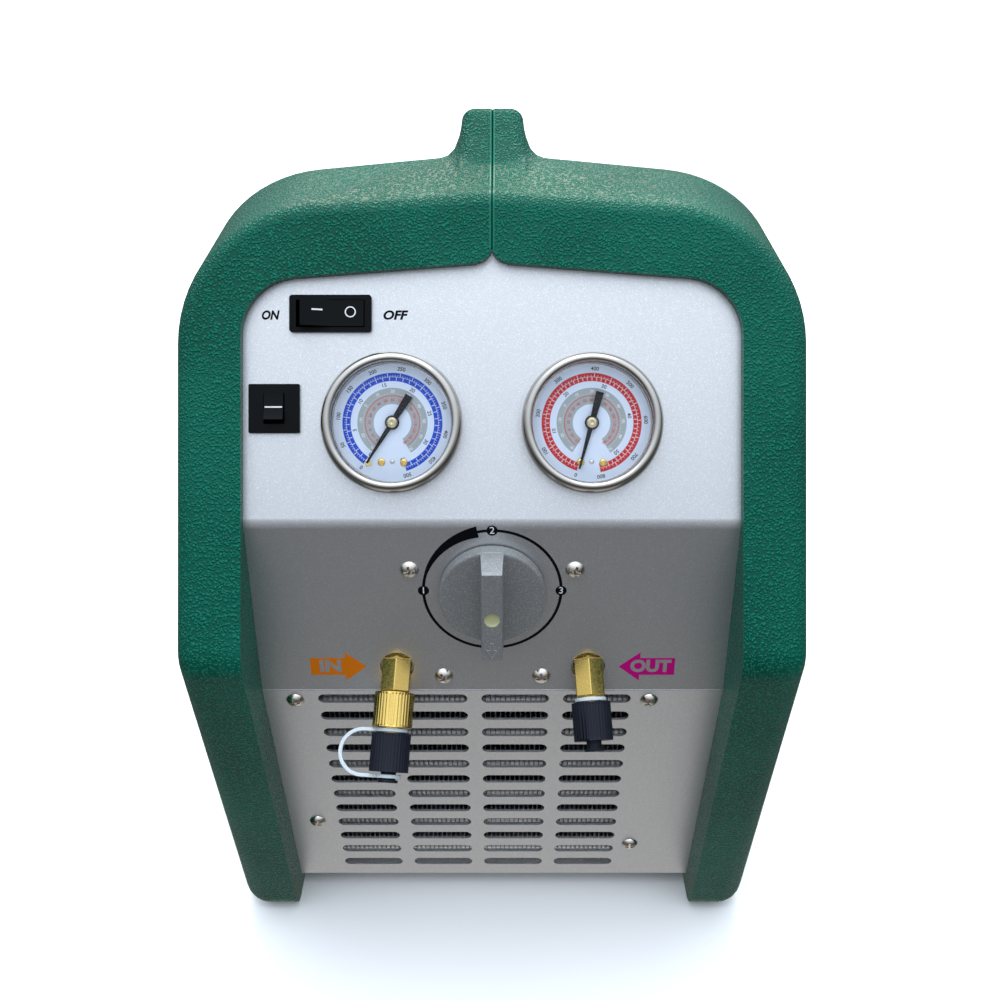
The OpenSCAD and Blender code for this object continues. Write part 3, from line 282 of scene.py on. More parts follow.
def ticks(name, inner, outer, width, start, end, count, height):  # one mark, spun into a row
    half = width / 2
    obj = plate(name, [(inner, -half), (outer, -half), (outer, half), (inner, half)], height)
    place(obj, Matrix.Rotation(math.radians(start), 4, "Z"))
    editAll(obj)
    bpy.ops.mesh.spin(
        steps=count, dupli=True, angle=math.radians(start - end), center=(0, 0, 0), axis=(0, 0, 1))
    clearPick()
    return obj


def lettering(name, text, capHeight, height=0.06, lean=0.0, weight=0.0, width=0):
    clearPick()
    bpy.ops.object.text_add()
    words = bpy.context.object.data
    words.body = text
    words.size = capHeight / 0.682 * mm
    words.shear = lean
    words.offset = weight * mm
    words.extrude = height * mm / 2
    words.resolution_u = 3
    words.align_x = "CENTER"
    words.align_y = "CENTER"
    bpy.ops.object.convert(target="MESH")
    obj = named(name)
    stretch = width * mm / obj.dimensions.x if width else 1  # drawn out to a width in millimetres
    place(obj, Matrix.Translation((0, 0, height * mm / 2)) @ Matrix.Diagonal((stretch, 1, 1, 1)))
    return obj


def numbersRound(name, values, radius, start, end, capHeight, height, weight=0.03):  # figures along an arc
    figures = []
    for index, value in enumerate(values):
        turn = start + (end - start) * index / (len(values) - 1) - 90
        figure = lettering(name, str(value), capHeight, height, 0, weight)
        place(figure, Matrix.Rotation(math.radians(turn), 4, "Z") @ Matrix.Translation((0, radius * mm, 0)))
        figures.append(figure)
    return joined(figures, name)


# Shader groups

def newGroup(name, inputs, outputs):
    tree = bpy.data.node_groups.new(name, "ShaderNodeTree")
    for title, value in inputs.items():
        socket = tree.interface.new_socket(title, in_out="INPUT", socket_type="NodeSocketFloat")
        socket.default_value = value
    for title in outputs:
        tree.interface.new_socket(title, in_out="OUTPUT", socket_type="NodeSocketFloat")
    return tree, tree.nodes.new("NodeGroupInput"), tree.nodes.new("NodeGroupOutput")


def addNode(tree, kind, settings=None, values=None):
    node = tree.nodes.new(kind)
    for key, value in (settings or {}).items():
        setattr(node, key, value)
    for key, value in (values or {}).items():
        node.inputs[key].default_value = value
    return node


def mathNode(tree, operation, a, b):  # a and b are sockets or numbers
    node = addNode(tree, "ShaderNodeMath", dict(operation=operation))
    for socket, value in zip(node.inputs, (a, b)):
        if isinstance(value, (int, float)):
            socket.default_value = value
        else:
            tree.links.new(value, socket)
    return node.outputs[0]


def ramp(tree, value, low, high, outLow=0.0, outHigh=1.0):
    node = addNode(tree, "ShaderNodeMapRange", dict(interpolation_type="SMOOTHSTEP"))
    tree.links.new(value, node.inputs["Value"])
    for key, number in (("From Min", low), ("From Max", high), ("To Min", outLow), ("To Max", outHigh)):
        node.inputs[key].default_value = number
    return node.outputs["Result"]


def makePebbles():  # moulded leather grain: raised pebbles with creases between them, and a mask for shade painted into the creases
    tree, given, result = newGroup("pebbleGrain", dict(Density=480.0), ["Height", "CreaseShade"])
    place3d = addNode(tree, "ShaderNodeTexCoord").outputs["Object"]
    drift = addNode(tree, "ShaderNodeTexNoise", values=dict(Scale=170.0, Detail=2.0))
    tree.links.new(place3d, drift.inputs["Vector"])
    bend = addNode(tree, "ShaderNodeVectorMath", dict(operation="MULTIPLY_ADD"))
    tree.links.new(drift.outputs["Color"], bend.inputs[0])
    bend.inputs[1].default_value = (0.0026, 0.0026, 0.0026)
    tree.links.new(place3d, bend.inputs[2])
    cells = addNode(tree, "ShaderNodeTexVoronoi", dict(feature="SMOOTH_F1"), dict(Smoothness=0.35))
    tree.links.new(bend.outputs[0], cells.inputs["Vector"])
    tree.links.new(given.outputs["Density"], cells.inputs["Scale"])
    dome = ramp(tree, cells.outputs["Distance"], 0.1, 0.62, 1.0, 0.0)
    fine = addNode(tree, "ShaderNodeTexNoise", values=dict(Scale=2600.0, Detail=2.0))
    tree.links.new(place3d, fine.inputs["Vector"])
    height = mathNode(tree, "MULTIPLY_ADD", fine.outputs["Fac"], 0.12)
    tree.links.new(dome, height.node.inputs[2])
    tree.links.new(height, result.inputs["Height"])
    tree.links.new(ramp(tree, dome, 0.0, 0.5, 1.0, 0.0), result.inputs["CreaseShade"])
    return tree


def makeMottle():  # slow unevenness of a surface, with fine specks
    tree, given, result = newGroup("mottle", dict(Scale=30.0, Speck=900.0), ["Cloud", "Speck"])
    place3d = addNode(tree, "ShaderNodeTexCoord").outputs["Object"]
    for title, detail, low, high in (("Cloud", 4.0, 0.32, 0.68), ("Speck", 3.0, 0.3, 0.7)):
        noise = addNode(tree, "ShaderNodeTexNoise", values=dict(Detail=detail))
        tree.links.new(place3d, noise.inputs["Vector"])
        tree.links.new(given.outputs["Scale" if title == "Cloud" else "Speck"], noise.inputs["Scale"])
        tree.links.new(ramp(tree, noise.outputs["Fac"], low, high), result.inputs[title])
    return tree


def makeFlake():  # metal flake in paint: tiny cells, each of its own brightness, the brightest of them a mask for painted glints
    tree, given, result = newGroup("paintFlake", dict(Density=2600.0), ["Glint", "Tone"])
    place3d = addNode(tree, "ShaderNodeTexCoord").outputs["Object"]
    cells = addNode(tree, "ShaderNodeTexVoronoi", dict(feature="F1"))
    tree.links.new(place3d, cells.inputs["Vector"])
    tree.links.new(given.outputs["Density"], cells.inputs["Scale"])
    split = addNode(tree, "ShaderNodeSeparateColor")
    tree.links.new(cells.outputs["Color"], split.inputs["Color"])
    tree.links.new(ramp(tree, split.outputs["Red"], 0.82, 1.0), result.inputs["Glint"])
    tree.links.new(split.outputs["Green"], result.inputs["Tone"])
    return tree


def makeToolMarks():  # fine lines of turning and drawing
    tree, given, result = newGroup("toolMarks", dict(Along=40.0, Across=2200.0), ["Line"])
    place3d = addNode(tree, "ShaderNodeTexCoord").outputs["Object"]
    stretch = addNode(tree, "ShaderNodeCombineXYZ")
    for axis, title in (("X", "Along"), ("Y", "Along"), ("Z", "Across")):
        tree.links.new(given.outputs[title], stretch.inputs[axis])
    scaled = addNode(tree, "ShaderNodeVectorMath", dict(operation="MULTIPLY"))
    tree.links.new(place3d, scaled.inputs[0])
    tree.links.new(stretch.outputs[0], scaled.inputs[1])
    noise = addNode(tree, "ShaderNodeTexNoise", values=dict(Scale=1.0, Detail=3.0))
    tree.links.new(scaled.outputs[0], noise.inputs["Vector"])
    tree.links.new(ramp(tree, noise.outputs["Fac"], 0.25, 0.75), result.inputs["Line"])
    return tree


groups = dict(pebbles=makePebbles(), mottle=makeMottle(), flake=makeFlake(), marks=makeToolMarks())
print("shader groups ready")


# Materials

class Finish:  # one material under construction
    def __init__(self, name, colour, **sockets):
        self.material = bpy.data.materials.new(name)
        self.material.use_nodes = True
        self.tree = self.material.node_tree
        self.shader = self.tree.nodes["Principled BSDF"]
        self.colour = colour
        self.set(**{"Base Color": (*colour, 1), **sockets})

    def set(self, **sockets):
        for key, value in sockets.items():
            self.shader.inputs[key].default_value = value

    def group(self, kind, **values):
        node = addNode(self.tree, "ShaderNodeGroup", dict(node_tree=groups[kind]), values)
        return node.outputs

    def tint(self, mask, other, base=None):  # colour that goes to other where the mask is 1
        mix = addNode(self.tree, "ShaderNodeMix", dict(data_type="RGBA"))
        self.tree.links.new(mask, mix.inputs["Factor"])
        if base is None:
            mix.inputs["A"].default_value = (*self.colour, 1)
        else:
            self.tree.links.new(base, mix.inputs["A"])
        mix.inputs["B"].default_value = (*other, 1)
        self.tree.links.new(mix.outputs["Result"], self.shader.inputs["Base Color"])
        return mix.outputs["Result"]

    def roughness(self, mask, low, high):
        self.tree.links.new(ramp(self.tree, mask, 0.0, 1.0, low, high), self.shader.inputs["Roughness"])

    def bump(self, height, depth, strength=1.0):  # depth in millimetres
        node = addNode(self.tree, "ShaderNodeBump", values=dict(Strength=strength, Distance=depth * mm))
        self.tree.links.new(height, node.inputs["Height"])
        self.tree.links.new(node.outputs["Normal"], self.shader.inputs["Normal"])


def grainedPlastic(name, colour, creaseShade, light, density, depth):
    finish = Finish(name, colour)
    finish.set(**{"Specular IOR Level": 0.12})
    grain = finish.group("pebbles", Density=density)
    cloud = finish.group("mottle", Scale=14.0, Speck=700.0)
    # painted shade: the creases between the pebbles are coloured darker
    base = finish.tint(grain["CreaseShade"], creaseShade)
    soft = mathNode(finish.tree, "MULTIPLY", cloud["Cloud"], 0.35)
    finish.tint(soft, light, base)
    finish.roughness(cloud["Speck"], 0.2, 0.34)
    finish.bump(grain["Height"], depth)
    return finish.material


def flakePaint(name, colour, glintColour, metallic, low, high, density, shine):
    finish = Finish(name, colour, Metallic=metallic)
    flake = finish.group("flake", Density=density)
    cloud = finish.group("mottle", Scale=20.0, Speck=1500.0)
    tone = mathNode(finish.tree, "MULTIPLY", flake["Tone"], 0.3)
    base = finish.tint(tone, [c * 0.8 for c in colour])
    # painted glints: a few flake cells are coloured bright
    finish.tint(mathNode(finish.tree, "MULTIPLY", flake["Glint"], shine), glintColour, base)
    finish.roughness(cloud["Speck"], low, high)
    finish.bump(flake["Tone"], 0.006, 0.5)
    return finish.material


def machinedMetal(name, colour, dull, low, high, along=60.0, across=1800.0, depth=0.02):
    finish = Finish(name, colour, Metallic=1.0)
    lines = finish.group("marks", Along=along, Across=across)
    cloud = finish.group("mottle", Scale=60.0, Speck=900.0)
    patchy = mathNode(finish.tree, "MULTIPLY", cloud["Cloud"], 0.45)
    finish.tint(patchy, dull)
    finish.roughness(cloud["Speck"], low, high)
    finish.bump(lines["Line"], depth, 0.4)
    return finish.material


def plainPlastic(name, colour, worn, low, high, depth=0.02, speck=1400.0, **sockets):
    finish = Finish(name, colour, **sockets)
    cloud = finish.group("mottle", Scale=40.0, Speck=speck)
    patchy = mathNode(finish.tree, "MULTIPLY", cloud["Cloud"], 0.4)
    finish.tint(patchy, worn)
    finish.roughness(cloud["Speck"], low, high)
    finish.bump(cloud["Speck"], depth, 0.5)
    return finish.material


def clearGlass():
    finish = Finish("gaugeGlass", (0.97, 0.98, 1.0), Roughness=0.02, IOR=1.25)
    finish.set(**{"Transmission Weight": 1.0})
    cloud = finish.group("mottle", Scale=26.0, Speck=400.0)
    finish.tint(mathNode(finish.tree, "MULTIPLY", cloud["Cloud"], 0.25), (0.93, 0.95, 0.97))
    return finish.material


def printInk(name, colour):
    return plainPlastic(
        name, colour, [c * 0.8 + 0.002 for c in colour], 0.45, 0.6, 0.005, **{"Specular IOR Level": 0.06})


faintGloss, edgeGloss, deepBlack = ({"Specular IOR Level": level} for level in (0.16, 0.3, 0.07))
# the second colour is the shade painted into the grain's creases
greenPlastic = grainedPlastic(
    "greenMoulding", (0.0, 0.136, 0.087), (0.0, 0.06, 0.04), (0.004, 0.17, 0.11), 900.0, 0.5)
greenEdge = plainPlastic(
    "greenSmoothEdge", (0.0, 0.135, 0.085), (0.0, 0.12, 0.075), 0.24, 0.36, 0.02, **edgeGloss)
# in both flake paints the second colour is the painted glint of the flakes
silverPaintAndHighlight = flakePaint(
    "silverPanelPaintAndHighlight", (0.6, 0.61, 0.63), (0.85, 0.86, 0.88), 0.9, 0.36, 0.46, 4600.0, 0.8)
knobPaint = flakePaint(
    "knobFlakePaint", (0.27, 0.28, 0.285), (0.75, 0.77, 0.78), 0.45, 0.36, 0.5, 4200.0, 0.5)
brightSteel = machinedMetal(
    "polishedSteel", (0.46, 0.44, 0.41), (0.38, 0.36, 0.33), 0.08, 0.15, depth=0.004)
zincSteel = machinedMetal("zincSteel", (0.6, 0.59, 0.57), (0.42, 0.42, 0.41), 0.28, 0.42)
darkSteel = machinedMetal("darkSteel", (0.16, 0.17, 0.19), (0.1, 0.11, 0.12), 0.35, 0.5)
screwSteel = machinedMetal("screwNickel", (0.66, 0.62, 0.56), (0.5, 0.46, 0.41), 0.16, 0.28, depth=0.006)
capBrass = machinedMetal("capBrass", (0.55, 0.47, 0.3), (0.4, 0.33, 0.2), 0.25, 0.4)
yellowBrass = machinedMetal("yellowBrass", (0.68, 0.48, 0.14), (0.6, 0.42, 0.12), 0.22, 0.28)
copperTube = machinedMetal("copperTube", (0.66, 0.33, 0.2), (0.42, 0.2, 0.12), 0.28, 0.45)
castAlloy = machinedMetal("castAlloy", (0.6, 0.6, 0.61), (0.45, 0.45, 0.46), 0.4, 0.55, 700.0, 700.0, 0.08)
finAlloy = machinedMetal("finAlloy", (0.62, 0.63, 0.64), (0.4, 0.41, 0.42), 0.25, 0.4)
tubeAlloy = machinedMetal("tubeAlloy", (0.92, 0.93, 0.95), (0.8, 0.81, 0.83), 0.3, 0.45)
blackPlastic = plainPlastic(
    "blackPlastic", (0.003, 0.0038, 0.0046), (0.005, 0.006, 0.007), 0.3, 0.42, 0.03, **deepBlack)
capPlastic = plainPlastic(
    "capPlastic", (0.009, 0.012, 0.021), (0.014, 0.017, 0.027), 0.4, 0.55, 0.03, **faintGloss)
blackRubber = plainPlastic("blackRubber", (0.015, 0.015, 0.015), (0.03, 0.03, 0.029), 0.6, 0.8, 0.05)
darkPaint = plainPlastic("darkPaint", (0.022, 0.022, 0.024), (0.04, 0.04, 0.042), 0.38, 0.5, 0.04)
whiteNylon = plainPlastic(
    "whiteNylon", (0.64, 0.7, 0.75), (0.56, 0.63, 0.68), 0.35, 0.5, 0.02,
    **{"Subsurface Weight": 0.4, "Subsurface Radius": (0.003, 0.003, 0.003)})
dialWhite = plainPlastic(
    "dialWhite", (0.72, 0.8, 0.92), (0.68, 0.77, 0.9), 0.5, 0.62, 0.004, **faintGloss)
dialBlue = printInk("dialBlue", (0.004, 0.075, 0.6))
dialRed = printInk("dialRed", (0.62, 0.02, 0.025))
dialGrey = printInk("dialGrey", (0.38, 0.43, 0.43))
markRed = printInk("markRed", (0.62, 0.07, 0.06))
markGrey = printInk("markGrey", (0.012, 0.013, 0.017))
# white print, also used for the painted highlight on the breaker rocker
whiteMarkAndHighlight = printInk("whiteMarkAndHighlight", (0.8, 0.82, 0.84))
inkBlack = printInk("inkBlack", (0.002, 0.0025, 0.004))
inkOrange = printInk("inkOrange", (0.68, 0.18, 0.005))
inkPink = printInk("inkPink", (0.5, 0.004, 0.2))
dimplePaint = printInk("dimplePaint", (0.5, 0.5, 0.28))
glass = clearGlass()
print("materials ready")


# Moulded shells

shellLook = dict(
    edge=1.1, angle=38, smooth=42, seam=0.9, merge=0.05, seamFace=0.3, rimBack=-90, rimTop=356, rimClear=1)
handleLook = dict(
    stations=[(-100, 357.2, 0.0), (-91.4, 358.5, 0.4), (-82.8, 359.8, 0.85)],  # y, arch height, share kept
    stationHalf=4.3, stationReach=24, footBack=-94, footLow=355.5,
    reach=34, front=-104, back=-56, low=351, high=366, grid=3, rounds=12,
)


def easeHandle(obj, side):  # lets the foot of the handle run out into the arch
    look = handleLook
    for y, base, keep in look["stations"]:
        editVerts(obj, lambda c: abs(c.y - y) < look["stationHalf"] and abs(c.x) < look["stationReach"]
                  and c.z > base - 1)
        bpy.ops.transform.resize(value=(1, 1, keep), center_override=(0, y * mm, base * mm))
    editVerts(obj, lambda c: abs(c.x) < shellLook["seamFace"] and look["front"] < c.y < look["footBack"]
              and c.z > look["footLow"])
    bpy.ops.mesh.merge(type="CENTER")  # no step is left in the seam

    def atFoot(face):
        xs, ys, zs = zip(*(vert.co / mm for vert in face.verts))
        near = min(abs(x) for x in xs) < look["reach"] and max(zs) > look["low"]
        return near and min(ys) < look["back"] and max(ys) > look["front"] and face.normal.z > -0.5

    cuts = [((side * x, 0, 0), (1, 0, 0)) for x in range(3, look["reach"], look["grid"])]
    cuts += [((0, y, 0), (0, 1, 0)) for y in range(look["front"], look["back"], look["grid"])]
    for point, across in cuts:
        editFaces(obj, atFoot)
        bpy.ops.mesh.bisect(plane_co=[c * mm for c in point], plane_no=across)
    editVerts(obj, lambda c: 1 < abs(c.x) < look["reach"] - 3 and look["front"] < c.y < look["back"]
              and look["low"] < c.z < look["high"])
    bpy.ops.mesh.vertices_smooth(factor=0.5, repeat=look["rounds"])
    clearPick()


def trimOpening(obj):  # a smooth rounded edge round the opening in the face
    look = shellLook

    def onRim(edge):
        xs, ys, zs = zip(*(vert.co / mm for vert in edge.verts))
        front = max(ys) < look["rimBack"] and max(zs) < look["rimTop"]
        sharp = edge.is_convex and math.degrees(edge.calc_face_angle(0)) > look["angle"]
        return front and sharp and min(map(abs, xs)) > look["rimClear"]

    editEdges(obj, onRim)
    bpy.ops.mesh.bevel(offset=look["edge"] * mm, segments=3, affect="EDGES", clamp_overlap=True, material=1)
    clearPick()


def openSeam(obj):  # rounds the two edges where the halves meet
    def onSeam(edge):
        flat = [abs(face.normal.x) > 0.9 for face in edge.link_faces]
        return flat[0] != flat[1] and max(abs(vert.co.x) for vert in edge.verts) < shellLook["seamFace"] * mm

    editEdges(obj, onSeam)
    bpy.ops.mesh.bevel(
        offset=shellLook["seam"] * mm, segments=3, affect="EDGES", clamp_overlap=False, material=1)
    clearPick()


def makeShell(node, name, side):
    obj = copyNode(node, name)
    editAll(obj)
    bpy.ops.mesh.remove_doubles(threshold=shellLook["merge"] * mm)
    clearPick()
    easeHandle(obj, side)
    obj.data.materials.clear()
    obj.data.materials.append(greenPlastic)
    obj.data.materials.append(greenEdge)  # the rounded edges carry no grain
    trimOpening(obj)
    openSeam(obj)
    softenEdges(obj, 0, smooth=shellLook["smooth"])
    return finishPiece(obj, "machine", None, [node])


makeShell("left_shell", "leftShellMoulding", -1)
makeShell("right_shell", "rightShellMoulding", 1)
print("shells ready")


# Sheet metal and fixed hardware

panelLook = dict(foldWidth=2.4, foldSteps=6, edge=0.25, near=1.8)


def roundFold(obj, height, yScale):  # softens the bend lines that run across the sheet near a height
    def onFold(edge):
        a, b = (vert.co for vert in edge.verts)
        across = abs(a.x - b.x) > 0.9 * (a - b).length
        ends = [math.hypot(c.y - yScale * panelY, c.z - height * mm) for c in (a, b)]
        return across and math.degrees(edge.calc_face_angle(0)) > 8 and max(ends) < panelLook["near"] * mm

    editEdges(obj, onFold)
    width, steps = panelLook["foldWidth"] * mm, panelLook["foldSteps"]
    bpy.ops.mesh.bevel(offset=width, segments=steps, affect="EDGES", clamp_overlap=True)
    clearPick()


def makePanel(node, folds, yScale=1):
    obj = copyNode(node, node + "_finished")
    for height in folds:
        roundFold(obj, height, yScale)
    softenEdges(obj, panelLook["edge"], 2, 60, 30)
    return finishPiece(obj, "machine", silverPaintAndHighlight, [node])


makePanel("control_panel", [sheet["foldHigh"]])
makePanel("grille_panel", [sheet["foldLow"]])
makePanel("rear_panel", [sheet["foldHigh"], sheet["foldLow"]], -1)
dressNode("base_tray", darkSteel, "zinc_steel", 0.3)
dressNode("rubber_feet", blackRubber, "black_rubber", 0.5)
dressNode("power_inlet", blackPlastic, "black_plastic", 0.5)
switchCorners = dict(switch_body=1.2, switch_rocker=0, breaker_body=0.6, breaker_rocker=0)
for node, corner in switchCorners.items():
    dressNode(node, blackPlastic, "black_plastic", 0.4, corner, segments=3)
print("panels and switches ready")


# Screws with cross recesses

screwLook = dict(
    valveSpots=[(-34, 217), (34, 217), (-21, 163.5), (21, 163.5)],
    grilleSpots=[(-86.6, -7), (-86.6, -102), (68.5, -7), (68.5, -122.5)],
    armLength=2.4, armWidth=0.55, height=4, floor=0.7, turns=[12, -20, 31, 4], edge=0.12,
)


def crossCutter(matrix):  # a plus-shaped block that cuts one recess
    a, w = screwLook["armLength"], screwLook["armWidth"]
    outline = [
        (w, w), (w, a), (-w, a), (-w, w), (-a, w), (-a, -w), (-w, -w), (-w, -a), (w, -a), (w, -w), (a, -w),
        (a, w)]
    obj = plate("crossCutter", outline, screwLook["height"])
    place(obj, matrix)
    return obj


def makeScrews(node, base, spots):
    obj = copyNode(node, node + "_finished")
    for (x, y), turn in zip(spots, screwLook["turns"]):
        twist = Matrix.Rotation(math.radians(turn), 4, "Z")
        cutter = crossCutter(moved(base, x, y, screwLook["floor"]) @ twist)
        useModifier(obj, "BOOLEAN", object=cutter, operation="DIFFERENCE", solver="EXACT")
        pick(cutter)
        bpy.ops.object.delete()
    softenEdges(obj, screwLook["edge"], 2, 35, 35)
    return finishPiece(obj, "machine", screwSteel, [node])


makeScrews("valve_screws", middleFrame, screwLook["valveSpots"])
makeScrews("grille_screws", grilleFrame, screwLook["grilleSpots"])
print("screws ready")


# Everything that sits behind the panels keeps its CAD shape

innerFinish = dict(
    tray_screws=zincSteel, valve_spindle=zincSteel,
    valve_block=castAlloy, filter_screen=zincSteel, condenser_fins=finAlloy, condenser_tubes=tubeAlloy,
    condenser_brackets=darkSteel, fan_frame=darkPaint, fan_motor=darkPaint, fan_impeller=blackPlastic,
    crankcase=castAlloy, compressor_motor=darkPaint, cylinder_head=castAlloy, rubber_mounts=blackRubber,
    suction_line=copperTube, discharge_line=copperTube, liquid_line=copperTube, gauge_lines=copperTube,
    pressure_switch=blackPlastic, run_capacitor=castAlloy,
)
for side in ("low", "high"):
    innerFinish[side + "_gauge_case"] = brightSteel
    innerFinish[side + "_gauge_stem"] = yellowBrass
for node, material in innerFinish.items():
    obj = frame["nodes"][node]
    obj.data.materials.clear()
    obj.data.materials.append(material)
    pick(obj)
    bpy.ops.object.shade_smooth_by_angle(angle=math.radians(35))
print("inner pieces ready")


# Gauges

gaugeLook = dict(
    step=40, height=40.765, dialTop=-0.4, print=0.04, band=(16.8, 20.1), middle=18.45,
    outerFigures=21.75, innerFigures=15.35, figure=1.5,
    bezel=[(28.3, 1.5), (28.3, 4.6), (28.1, 5.9), (27.55, 7.0), (26.8, 7.75), (25.9, 8.2), (25.1, 8.1),
           (24.5, 7.75), (24.1, 7.2), (23.9, 6.5), (23.9, 6.1), (25.9, 6.1), (25.9, 1.5), (28.3, 1.5)],
    ring=(7.55, 14.1), ringFrom=237, ringTo=-58, redLine=11, whiteFigures=12.7, redFigures=9.2,
    screw=[(0, 0.35), (0.55, 0.35), (0.75, 0.7), (1.3, 0.6), (1.55, 0.25), (1.55, 0)],
    screwSpots=[(-4.4, -15.8), (4.6, -16)], rivet=[(0, 0.45), (0.6, 0.4), (1, 0.12), (1, 0)], rivetY=-15.6,
    stop=(1.1, 1.1, 0.35), stopSpot=(-9.7, -16.2), stopTurn=0.3,
)
scales = dict(
    low=dict(
        side=-1, ink=dialBlue, start=235, end=-74, rest=237.6, outer=range(0, 501, 50), inner=range(0, 36, 5)),
    high=dict(
        side=1, ink=dialRed, start=253, end=-80, rest=255, outer=range(0, 801, 100), inner=range(0, 56, 5)),
)
pointerLook = dict(
    length=19.2, tail=12.8, bottom=0.8, thick=0.5, cap=2.25,
    hub=[(0, 1.1), (2.4, 1.1), (2.85, 0.8), (2.85, -0.2), (0, -0.2)],
)


def gaugeFrame(name):
    return moved(upperFrame, scales[name]["side"] * gaugeLook["step"], gaugeLook["height"])


def printOn(obj, matrix, material, body="machine"):  # lays a printed mark or a painted highlight on its surface
    place(obj, matrix)
    return finishPiece(obj, body, material)


def makeDial(name):
    look, scale = gaugeLook, scales[name]
    thin, middle, line = look["print"], look["middle"], look["redLine"]
    sweep = (scale["start"], scale["end"])
    base = moved(gaugeFrame(name), 0, 0, look["dialTop"])
    above = moved(base, 0, 0, thin)
    low, high = look["band"]
    printOn(band(name + "ScaleBand", low, high, *sweep[::-1], thin), base, scale["ink"])
    outerSteps, innerSteps = len(scale["outer"]) - 1, len(scale["inner"]) - 1
    marks = [
        band(name + "ScaleLine", middle - 0.07, middle + 0.07, *sweep[::-1], thin),
        ticks(name + "ScaleFine", middle, high - 0.9, 0.16, *sweep, outerSteps * 10, thin),
        ticks(name + "ScaleOuter", middle, high - 0.2, 0.26, *sweep, outerSteps * 2, thin),
        ticks(name + "ScaleInner", low + 0.3, middle, 0.26, *sweep, innerSteps * 5, thin),
    ]
    printOn(joined(marks, name + "ScaleMarks"), above, whiteMarkAndHighlight)
    innerValues, innerSweep = scale["inner"], sweep
    if name == "high":  # every second figure, so the last one stops a step early
        innerValues = innerValues[::2]
        innerSweep = (sweep[0], sweep[1] + (sweep[0] - sweep[1]) / innerSteps)
    figures = [
        numbersRound(name + "Outer", scale["outer"], look["outerFigures"], *sweep, look["figure"], thin),
        numbersRound(name + "Inner", innerValues, look["innerFigures"], *innerSweep, look["figure"], thin),
    ]
    printOn(joined(figures, name + "ScaleFigures"), base, markGrey)
    ringBand = band(name + "GreyRing", *look["ring"], look["ringTo"], look["ringFrom"], thin)
    printOn(ringBand, base, dialGrey)
    sweep = (look["ringFrom"] - 4, look["ringTo"] + 4)
    whites = [
        ticks(name + "RingTicks", line + 0.5, line + 1, 0.16, *sweep, 54, thin),
        numbersRound(name + "RingWhite", range(-30, 71, 10), look["whiteFigures"], *sweep, 1.1, thin),
    ]
    printOn(joined(whites, name + "RingWhiteMarks"), above, whiteMarkAndHighlight)
    reds = [
        band(name + "RedLine", line - 0.12, line + 0.12, *sweep[::-1], thin),
        ticks(name + "RedTicks", line - 0.55, line, 0.16, *sweep, 60, thin),
        numbersRound(name + "RedFigures", range(-20, 141, 10), look["redFigures"], *sweep, 1.15, thin),
    ]
    printOn(joined(reds, name + "RingRedMarks"), above, markRed)
    makeDialHardware(name, base)


def makeDialHardware(name, base):  # two brass screws, a grey rivet and the pointer's stop
    look = gaugeLook
    screws = []
    for spot in look["screwSpots"]:
        screw = turned(name + "DialScrew", look["screw"], 32)
        place(screw, moved(Matrix(), *spot))
        screws.append(screw)
    brass = joined(screws, name + "DialScrews")
    softenEdges(brass, 0, smooth=50)
    printOn(brass, base, yellowBrass)
    rivet = turned(name + "DialRivet", look["rivet"], 24)
    place(rivet, moved(Matrix(), 0, look["rivetY"]))
    softenEdges(rivet, 0, smooth=60)
    printOn(rivet, base, zincSteel)
    if name == "low":
        stop = bar(name + "DialStop", *look["stop"])
        softenEdges(stop, 0.15)
        place(stop, moved(Matrix(), *look["stopSpot"]) @ Matrix.Rotation(look["stopTurn"], 4, "Z"))
        printOn(stop, base, yellowBrass)


def makePointer(name):
    look = pointerLook
    base = gaugeFrame(name) @ Matrix.Rotation(math.radians(scales[name]["rest"]), 4, "Z")
    long, tail = look["length"], -look["tail"]
    outline = [
        (long, 0.35), (long, -0.35), (2, -1), (0, -1.1), (-2, -1.15), (tail, -1.6), (tail, 1.6), (-2, 1.15),
        (0, 1.1), (2, 1)]
    needle = plate(name + "Needle", outline, look["thick"])
    softenEdges(needle, 0.08)
    hub = turned(name + "Hub", look["hub"], 48)
    softenEdges(hub, 0, smooth=50)
    pointer = joined([hub, needle], name + "PointerFinished")
    place(pointer, moved(base, 0, 0, look["bottom"]))
    finishPiece(pointer, name + "_pointer", inkBlack, [name + "_gauge_pointer"])
    r = look["cap"]
    dome = [(0, 0.95), (0.3, 0.95), (0.42, 1.1), (r * 0.7, 0.98), (r * 0.92, 0.7), (r, 0.3), (r, 0)]
    cap = turned(name + "PointerCap", dome, 48)
    softenEdges(cap, 0, smooth=60)
    place(cap, moved(base, 0, 0, look["bottom"] + 1.1))
    finishPiece(cap, name + "_pointer", capBrass)


for name in scales:
    bezel = turned(name + "Bezel", gaugeLook["bezel"], 96)
    softenEdges(bezel, 0, smooth=38)
    place(bezel, gaugeFrame(name))
    finishPiece(bezel, "machine", brightSteel, [name + "_gauge_bezel"])
    dressNode(name + "_gauge_lens", glass, "clear_lens", 0.2)
    dressNode(name + "_gauge_dial", dialWhite, "dial_paint", 0)
    makeDial(name)
    makePointer(name)
print("gauges ready")


# Switch marks, a painted highlight on the breaker, and panel print

switchLook = dict(
    x=-64.7, y=84.456, facet=(0.625, 2.545), tilt=20, dash=(2.2, 0.32, 0.06), dashSpot=(-5.9, 1.2),
    circle=(1.75, 2.2), circleSpot=(8.1, 0.5), ridgeHighlight=(3.5, 0.3, 0.3), ridgeHighlightSpot=(-87.3, 46.9, 2.55),
    words=[("ON", -24.6, 7.2), ("OFF", 25.4, 10)], wordY=-0.6, caps=3.35, lean=0.22, weight=0.19,
)
panelPrint = dict(height=0.05, ring=28.5, line=0.6, dot=2.3, figure=3.1)
arrowLook = dict(x=66.2, z=168.5, tail=12, tip=-12, neck=-3, body=4.4, head=7.4, caps=5.6)


